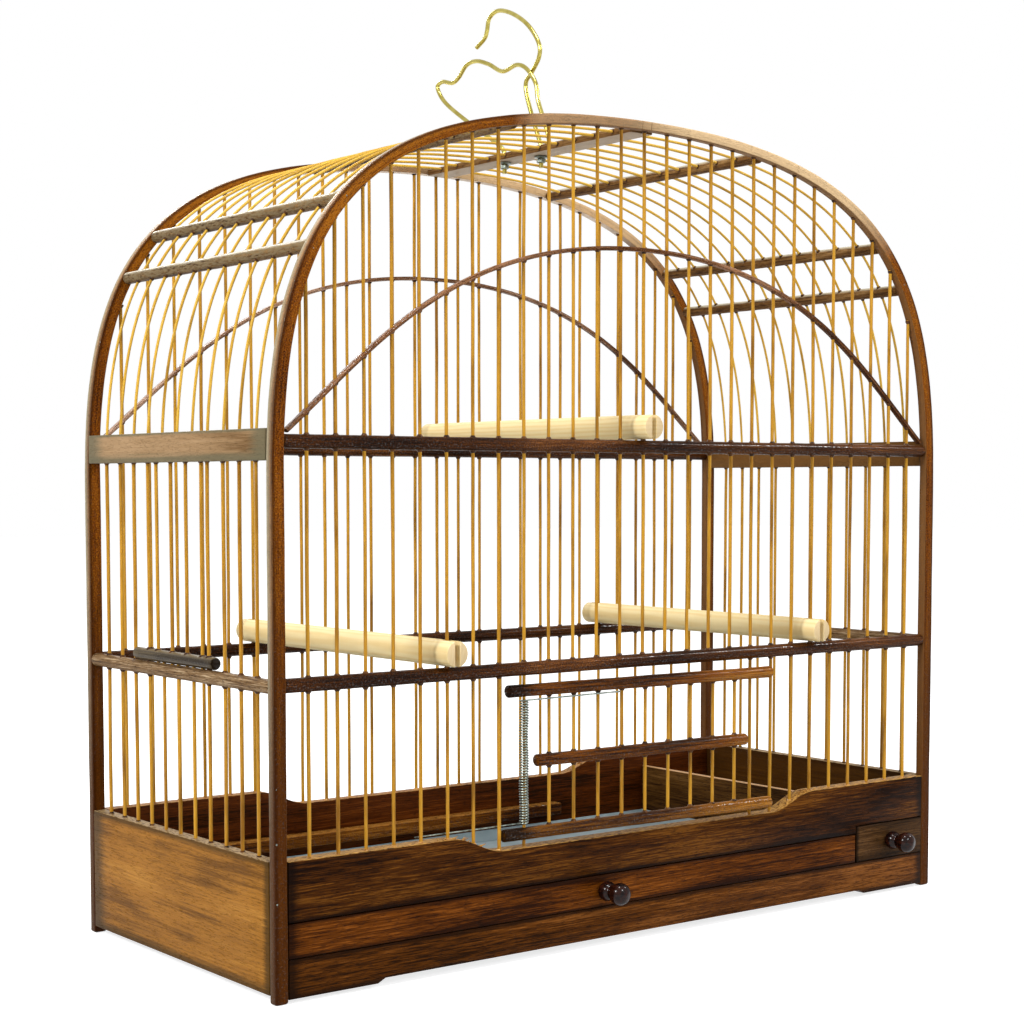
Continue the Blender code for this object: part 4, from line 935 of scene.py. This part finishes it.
def gable(end, y, seed, has_door):
    """A gable: hoop, two sticks, the inner arch, and bars that run on through them from sill to hoop."""
    hoop(end + "_hoop", FRONT + HOOP_DEPTH / 2 if end == "front" else REAR - HOOP_DEPTH / 2, seed)
    mid_end, upper_end = POST_INNER + SEAT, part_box(end + "_upper_rail")[1].x + 0.0006
    stick(end + "_mid_rail", (-mid_end, y, MID_Z), (mid_end, y, MID_Z), RAIL_RADIUS, "stick", seed + 1)
    stick(end + "_upper_rail", (-upper_end, y, UPPER_Z), (upper_end, y, UPPER_Z), UPPER_RAIL_RADIUS, "stick",
          seed + 2)
    arch(end + "_inner_arch", y, seed + 3)
    numbers = np.arange(1, FRONT_BARS + 1)
    x = bar_x(numbers)
    door = (numbers > HINGE_BAR) & (numbers <= HINGE_BAR + DOOR_BARS) & has_door
    hinge = (numbers == HINGE_BAR) & has_door
    foot = np.where(door, MID_Z, sill_height(x) - SUNK)
    hoop_z, arch_z = over(HOOP_INNER, x), over(ARCH_LINE, x)
    bars(end + "_cane_bars", straight(at(x, y, foot), at(x, y, hoop_z + SUNK), 44), "cage", seed + 4,
         replaces=("hinge_bar",) if has_door else ())
    spots = [(x, UPPER_Z - UPPER_RAIL_RADIUS, -Z), (x, UPPER_Z + UPPER_RAIL_RADIUS, Z),
             (x[~door & ~hinge], MID_Z - RAIL_RADIUS, -Z), (x, MID_Z + RAIL_RADIUS, Z),
             (x, arch_z - ARCH_THICKNESS / 2, -Z), (x, hoop_z, -Z)]
    beads(end + "_varnish_beads", [(at(along, y, z), way) for along, z, way in spots], "cage", seed + 5)
    x = x[~door]
    beads(end + "_sill_beads", [(at(x, y, sill_height(x)), Z)], "cage", seed + 6, "glue", tall=0.0006)


def short_places():
    """Where the short bars over the side door stand, each behind one of the bars below."""
    return side_y(np.array([SIDE_DOOR_STEPS[0] - 1, *SIDE_DOOR_STEPS])) + SHORT_BAR_OFFSET


def side_wall(side, name, seed):
    """A side wall: the mid stick and its bars, from the panel up into the upper plank."""
    x = side * SIDE_X
    has_door = side < 0
    stick(name + "_mid_rail", (x, SPAN_FRONT - SEAT, SIDE_Z), (x, SPAN_REAR + SEAT, SIDE_Z), SIDE_RAIL_RADIUS,
          "side_stick", seed, rough=0.05)
    steps = np.arange(SIDE_BARS) - SIDE_BARS // 2
    whole = side_y(steps[~np.isin(steps, SIDE_DOOR_STEPS)] if has_door else steps)
    short = short_places() if has_door else np.zeros(0)
    bars(name + "_cane_bars", straight(at(x, whole, SILL_TOP - SUNK), at(x, whole, PLANK_FOOT + SUNK), 30),
         "cage", seed + 1)
    if has_door:
        bars(name + "_short_bars", straight(at(x, short, SIDE_Z), at(x, short, PLANK_FOOT + SUNK)),
             "cage", seed + 2)
    spots = [(whole, SIDE_Z - SIDE_RAIL_RADIUS, -Z), (whole, SIDE_Z + SIDE_RAIL_RADIUS, Z),
             (np.concatenate([whole, short]), PLANK_FOOT, -Z), (whole, SILL_TOP, Z)]
    beads(name + "_varnish_beads", [(at(x, y, z), way) for y, z, way in spots], "cage", seed + 3)


def side_door():
    """The lifting door: a dark stick on the rail, bars below it, and collars round the bars it slides on."""
    low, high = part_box("side_door")
    z = SIDE_Z + SIDE_RAIL_RADIUS + SEAT / 3 + SIDE_DOOR_RADIUS
    stick("side_door", (-SIDE_X, low.y, z), (-SIDE_X, high.y, z), SIDE_DOOR_RADIUS, "side_rod", 61, "side_door",
          rough=0.015)
    y = side_y(np.array(SIDE_DOOR_STEPS))
    bars("side_door_bars", straight(at(-SIDE_X, y, low.z), at(-SIDE_X, y, z)), "side_door", 62, wander=0.00004)
    beside = side_y(np.array([SIDE_DOOR_STEPS[0] - 1, SIDE_DOOR_STEPS[-1] + 1]))
    held = at(-SIDE_X, np.concatenate([beside, short_places()]), z + SIDE_DOOR_RADIUS - SEAT)
    beads("side_door_collars", [(held, Z)], "side_door", 63, size=0.0019)


def roof_line(t):
    """The roof bars' line, a rod's radius inside the hoop."""
    return inner_line(SHOULDER, t, ROOF_ROD_RADIUS)


def roof():
    """Six rods from hoop to hoop and the bars bent over them, from the upper planks to the ridge board."""
    fine = roof_line(T_FINE)
    outer_x = bezier(SHOULDER, T_FINE)[:, 0]
    foot = np.interp(PLANK_TOP - SUNK, fine[:, 1], T_FINE)
    ridge = np.interp(-(BOARD_HIGH.x - SUNK), -fine[:, 0], T_FINE)
    ridge_z = roof_line(np.array([ridge]))[0, 1]
    path = roof_line(np.linspace(foot, ridge, 46))
    y = side_y(np.arange(SIDE_BARS) - SIDE_BARS // 2)
    for side, name in ((-1, "left"), (1, "right")):
        bars(name + "_roof_bars", at(side * path[:, 0], y[:, None], path[:, 1]), "cage", 80 + side,
             ROOF_BAR_RADIUS, "roof_cane", 0.00012)
        spots = []
        places = [HALF_WIDTH - inset for inset in ROD_INSETS[name]] + [CROWN_ROD_X]
        for number, (rod, place) in enumerate(zip(("eave", "shoulder", "crown"), places)):
            t = np.interp(-place, -outer_x, T_FINE)
            (x0, z0), (x, z), (x1, z1) = roof_line(np.array([t - 0.004, t, t + 0.004]))
            stick(f"{name}_{rod}_rod", (side * x, SPAN_FRONT - SEAT, z), (side * x, SPAN_REAR + SEAT, z),
                  ROOF_ROD_RADIUS, name + "_roof_rod", 90 + number + 5 * side, rough=0.10)
            ahead = unit(np.array([side * (x1 - x0), 0.0, z1 - z0]))
            spots += [(at(side * x, y, z) + way * ahead * ROOF_ROD_RADIUS, way * ahead) for way in (-1, 1)]
        spots.append((at(side * BOARD_HIGH.x, y, ridge_z), X * side))
        beads(name + "_roof_beads", spots, "cage", 95 + side, size=0.0012, tall=0.0007)


def front_door():
    """Three rods and nine bars on the hinge bar, in the front_door body, with the spring's upper leg."""
    hinge = np.array([(HINGE_LOW.x + HINGE_HIGH.x) / 2, FRONT_Y, 0.0])
    step = CAD_BAR_RADIUS + DOOR_ROD_RADIUS + SEAT
    lean = math.asin(step / ((DOOR_BARS + 1) * FRONT_PITCH))
    ahead = np.array([math.cos(lean), -math.sin(lean), 0.0])
    rods = (("door_top_rod", "rod", DOOR_TOP, -0.0095, 0.1565),
            ("door_mid_rod", "rod", DOOR_MID, 0.0070, 0.1395),
            ("door_bottom_rod", "low_rod", DOOR_BOTTOM, -0.0124, 0.1565))
    for number, (name, finish, z, start, end) in enumerate(rods):
        stick(name, hinge + ahead * start + Z * z, hinge + ahead * end + Z * z, DOOR_ROD_RADIUS, finish,
              70 + number, "front_door", rough=0.09)
    x, y, _ = (hinge + ahead * FRONT_PITCH * np.arange(1, DOOR_BARS + 1)[:, None]).T
    bars("front_door_bars", straight(at(x, y, DOOR_BOTTOM), at(x, y, DOOR_TOP), 14), "front_door", 74,
         wander=0.00010)
    ways = np.array([-1, 1, -1, 1])
    heights = np.array([DOOR_TOP, DOOR_MID, DOOR_MID, DOOR_BOTTOM]) + ways * DOOR_ROD_RADIUS
    points = at(x[:, None], y[:, None], heights).reshape(-1, 3)
    beads("front_door_beads", [(points, np.tile(ways[:, None] * Z, (DOOR_BARS, 1)))], "front_door", 75)
    spring(hinge, lean)


def tube(path, radius, sides, side):
    """A circle carried along a path."""
    return path[:, None] + radius * laid(circle(sides), *carry(path, side))


def spring(hinge, lean):
    """The closing spring: a helix on the hinge bar, one leg behind the fixed bars, one across the door's."""
    points = 14
    low = DOOR_BOTTOM + DOOR_ROD_RADIUS + SPRING_WIRE + 2 * SEAT
    high = DOOR_TOP - DOOR_ROD_RADIUS - SPRING_WIRE - 2 * SEAT
    total = int((SPRING_TURNS - 0.5) * points)
    step = np.arange(total + 1)
    angle = math.pi / 2 + 2 * math.pi * step / points
    share = step / total
    sway = 0.00018 * np.sin(5 * share * math.pi)
    height = low + (high - low) * share
    coil = hinge + at(SPRING_RADIUS * np.cos(angle) + sway, SPRING_RADIUS * np.sin(angle), height)
    leg = coil[0] + at(np.linspace(-0.0610, -0.0012, 8), 0.0, 0.0)
    wound = tube(np.concatenate([leg, coil]), SPRING_WIRE / 2, 8, Z)
    build("closing_spring", wound, "zinc", "cage", replaces=("door_spring",))
    start = hinge + np.array([0.0, -SPRING_RADIUS, high])
    reach = np.linspace(0.0, 0.0560, 10)[:, None] * np.array([math.cos(lean), -math.sin(lean), 0.012])
    build("spring_top_leg", tube(start + reach, SPRING_WIRE / 2, 8, Z), "zinc", "front_door")


def perch(name, x):
    """A pine dowel with a slot sawn in each end, which straddles a front and a rear bar."""
    low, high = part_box(name)
    rounding, clearance, past = 0.0008, 0.0012, 0.002
    places, radii = stations(high.y - low.y, 0.006, rounding)
    size = (high.x - low.x) / 2 - rounding + radii
    path = at(x, low.y + places, (low.z + high.z) / 2)
    rings = path[:, None] + size[:, None, None] * laid(circle(56), Z, X)
    piece = build(name + "_dowel", rings, "pine", name, replaces=(name,))
    half = CAD_BAR_RADIUS + 0.0003
    cuts = ((low.y - past, FRONT_Y + BAR_RADIUS + clearance), (REAR_Y - BAR_RADIUS - clearance, high.y + past))
    tools = [cutter((x - half, start, low.z - past), (x + half, end, high.z + past)) for start, end in cuts]
    for tool in tools:
        slot = piece.modifiers.new("slot", "BOOLEAN")
        slot.object, slot.operation, slot.solver = tool, "DIFFERENCE", "EXACT"
    bpy.context.view_layer.update()
    mesh = bpy.data.meshes.new_from_object(piece.evaluated_get(bpy.context.evaluated_depsgraph_get()))
    piece.modifiers.clear()
    piece.data = mesh
    for tool in tools:
        bpy.data.objects.remove(tool)


def cutter(low, high):
    """A box between two corners, used once to cut and then removed."""
    corners = [(x, y, z) for x in (low[0], high[0]) for y in (low[1], high[1]) for z in (low[2], high[2])]
    faces = [(0, 1, 3, 2), (4, 6, 7, 5), (0, 4, 5, 1), (2, 3, 7, 6), (0, 2, 6, 4), (1, 5, 7, 3)]
    mesh = bpy.data.meshes.new("slot_tool")
    mesh.from_pydata(corners, [], faces)
    tool = bpy.data.objects.new("slot_tool", mesh)
    bpy.context.scene.collection.objects.link(tool)
    return tool


def hanger():
    """The carrying handle and the hook: round wire through listed bends, threaded tails, washers and nuts."""
    tail = -(BOARD_HIGH.z - BOARD_LOW.z) - TAIL_DROP
    handle = [(HANDLE_NUT_Y, WIRE_START), *(np.array(HANDLE_BENDS) * HANDLE_HEIGHT),
              (HANDLE_END_Y, WIRE_START), (HANDLE_END_Y, -0.003)]
    hook = [(HOOK_NUT_Y, WIRE_START), *(np.array(HOOK_BENDS) * HOOK_HEIGHT)]
    for name, x, bends in (("carrying_handle", -HANGER_OFFSET, handle), ("hanging_hook", HANGER_OFFSET, hook)):
        curve = catmull(bends, np.linspace(0, len(bends) - 1, 12 * len(bends)))
        stem = np.stack([np.full(16, bends[0][0]), np.linspace(tail, WIRE_START, 17)[:-1]], -1)
        flat = np.concatenate([stem, curve])
        path = at(x, MIDDLE + flat[:, 0], BOARD_HIGH.z + flat[:, 1])
        build(name + "_wire", tube(path, HANGER_WIRE / 2, 14, X), "brass", "cage",
              replaces=(name,), smooth=60.0)
    bore = 0.0014
    for name in ("handle", "hook"):
        low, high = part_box(name + "_washer")
        radius, tall, edge = (high.x - low.x) / 2, high.z - low.z, 0.0002
        disc = [(bore, 0.0), (radius - edge, 0.0), (radius, edge), (radius, tall - edge),
                (radius - edge, tall), (bore, tall)]
        ring_piece(name + "_washer_disc", disc, 36, name + "_washer")
        low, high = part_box(name + "_nut")
        radius, tall, edge = (high.x - low.x) / 2, high.z - low.z, 0.0004
        hexagon = [(bore, 0.0), (radius * 0.82, 0.0), (radius, edge), (radius, tall - edge),
                   (radius * 0.82, tall), (bore, tall)]
        ring_piece(name + "_nut_hexagon", hexagon, 6, name + "_nut")


def ring_piece(name, profile, sides, node):
    """A ring with a bore in its solid's place: a closed (radius, height) profile carried round the Z axis."""
    low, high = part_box(node)
    centre = np.array([(low.x + high.x) / 2, (low.y + high.y) / 2, low.z])
    turn = np.arange(sides) * 2 * math.pi / sides
    profile = np.array(profile)
    radial = at(np.cos(turn), np.sin(turn), 0.0)
    points = centre + profile[:, :1] * radial[:, None] + profile[:, 1:] * Z
    index = np.arange(sides * len(profile)).reshape(sides, len(profile))
    across, after = np.roll(index, -1, 1), np.roll(index, -1, 0)
    quads = np.stack([index, after, np.roll(after, -1, 1), across], -1).reshape(-1, 4)
    mesh = bpy.data.meshes.new(name)
    mesh.from_pydata(points.reshape(-1, 3).tolist(), [], quads.tolist())
    mesh.shade_smooth()
    mesh.set_sharp_from_angle(angle=math.radians(30))
    return adopt(name, mesh, "zinc", "cage", (node,))


def camera():
    """The camera at the photograph's place, level but for a slight look down, with its small lens shift."""
    data = bpy.data.cameras.new("camera")
    data.sensor_width = 36.0
    data.lens = FOCAL_LENGTH
    data.shift_x, data.shift_y = FRAME_SHIFT
    data.clip_start, data.clip_end = 0.05, 30.0
    item = bpy.data.objects.new("camera", data)
    bpy.context.scene.collection.objects.link(item)
    turn, down = math.radians(VIEW_AZIMUTH), math.radians(VIEW_DOWN)
    back = Vector((math.sin(turn) * math.cos(down), -math.cos(turn) * math.cos(down), math.sin(down)))
    right = Vector((0, 0, 1)).cross(back).normalized()
    matrix = Matrix((right, back.cross(right), back)).transposed().to_4x4()
    matrix.translation = EYE
    item.matrix_world = matrix
    bpy.context.scene.camera = item


def lamp(name, place, aim, size, power):
    """A square softbox."""
    data = bpy.data.lights.new(name, "AREA")
    data.size = size
    data.energy = power
    item = bpy.data.objects.new(name, data)
    bpy.context.scene.collection.objects.link(item)
    item.location = place
    item.rotation_euler = (Vector(aim) - Vector(place)).to_track_quat("-Z", "Y").to_euler()


def seen_directly(tree):
    """1 for camera, glossy and transmission rays."""
    path = tree.nodes.new("ShaderNodeLightPath")
    total = path.outputs["Is Camera Ray"]
    for other in ("Is Glossy Ray", "Is Transmission Ray"):
        larger = tree.nodes.new("ShaderNodeMath")
        larger.operation = "MAXIMUM"
        tree.links.new(total, larger.inputs[0])
        tree.links.new(path.outputs[other], larger.inputs[1])
        total = larger.outputs[0]
    return total


def studio():
    """A pale floor that keeps the cage's shadow, a white surround, and soft lamps."""
    world = bpy.data.worlds.new("studio")
    bpy.context.scene.world = world
    world.use_nodes = True
    tree = world.node_tree
    plain = tree.nodes["Background"]
    plain.inputs["Color"].default_value = (0.95, 0.97, 1.0, 1.0)
    plain.inputs["Strength"].default_value = 0.55
    white = tree.nodes.new("ShaderNodeBackground")
    white.inputs["Color"].default_value = (1.0, 1.0, 1.0, 1.0)
    white.inputs["Strength"].default_value = 1.0
    mix = tree.nodes.new("ShaderNodeMixShader")
    tree.links.new(seen_directly(tree), mix.inputs[0])
    tree.links.new(plain.outputs[0], mix.inputs[1])
    tree.links.new(white.outputs[0], mix.inputs[2])
    tree.links.new(mix.outputs[0], tree.nodes["World Output"].inputs["Surface"])

    bpy.ops.mesh.primitive_plane_add(size=14.0, location=(0.0, 0.0, -0.0002))
    floor = bpy.context.object
    floor.name = "floor"
    finish = bpy.data.materials.new("pale_floor")
    finish.use_nodes = True
    tree = finish.node_tree
    shader = tree.nodes["Principled BSDF"]
    shader.inputs["Base Color"].default_value = (0.55, 0.55, 0.55, 1.0)
    shader.inputs["Roughness"].default_value = 0.9
    shader.inputs["Specular IOR Level"].default_value = 0.0
    shader.inputs["Emission Color"].default_value = (1.0, 1.0, 1.0, 1.0)
    glow = tree.nodes.new("ShaderNodeMath")
    glow.operation = "MULTIPLY"
    glow.inputs[1].default_value = 0.76
    tree.links.new(seen_directly(tree), glow.inputs[0])
    tree.links.new(glow.outputs[0], shader.inputs["Emission Strength"])
    floor.data.materials.append(finish)

    lamp("left_softbox", (-1.7, -0.3, 1.2), (0.0, 0.0, 0.18), 0.45, 29.0)
    lamp("front_softbox", (0.4, -2.0, 1.2), (0.0, 0.0, 0.18), 0.40, 17.0)
    lamp("top_softbox", (-0.2, -0.3, 1.7), (0.0, 0.0, 0.2), 0.30, 11.0)
    lamp("right_softbox", (1.6, -0.9, 1.5), (0.0, 0.0, 0.2), 0.35, 13.0)
    lamp("back_softbox", (0.3, 1.8, 1.3), (0.0, 0.0, 0.2), 0.45, 15.0)


camera()
studio()
base()
splinters()
hoop_marks()
drawers()
gable("front", FRONT_Y, 100, True)
gable("rear", REAR_Y, 200, False)
side_wall(-1, "left", 300)
side_wall(1, "right", 400)
side_door()
roof()
front_door()
for perch_name, perch_bar in (("left_perch", 6), ("right_perch", 22), ("upper_perch", 14)):
    perch(perch_name, bar_x(perch_bar))
hanger()
bpy.context.scene.view_settings.view_transform = "Standard"
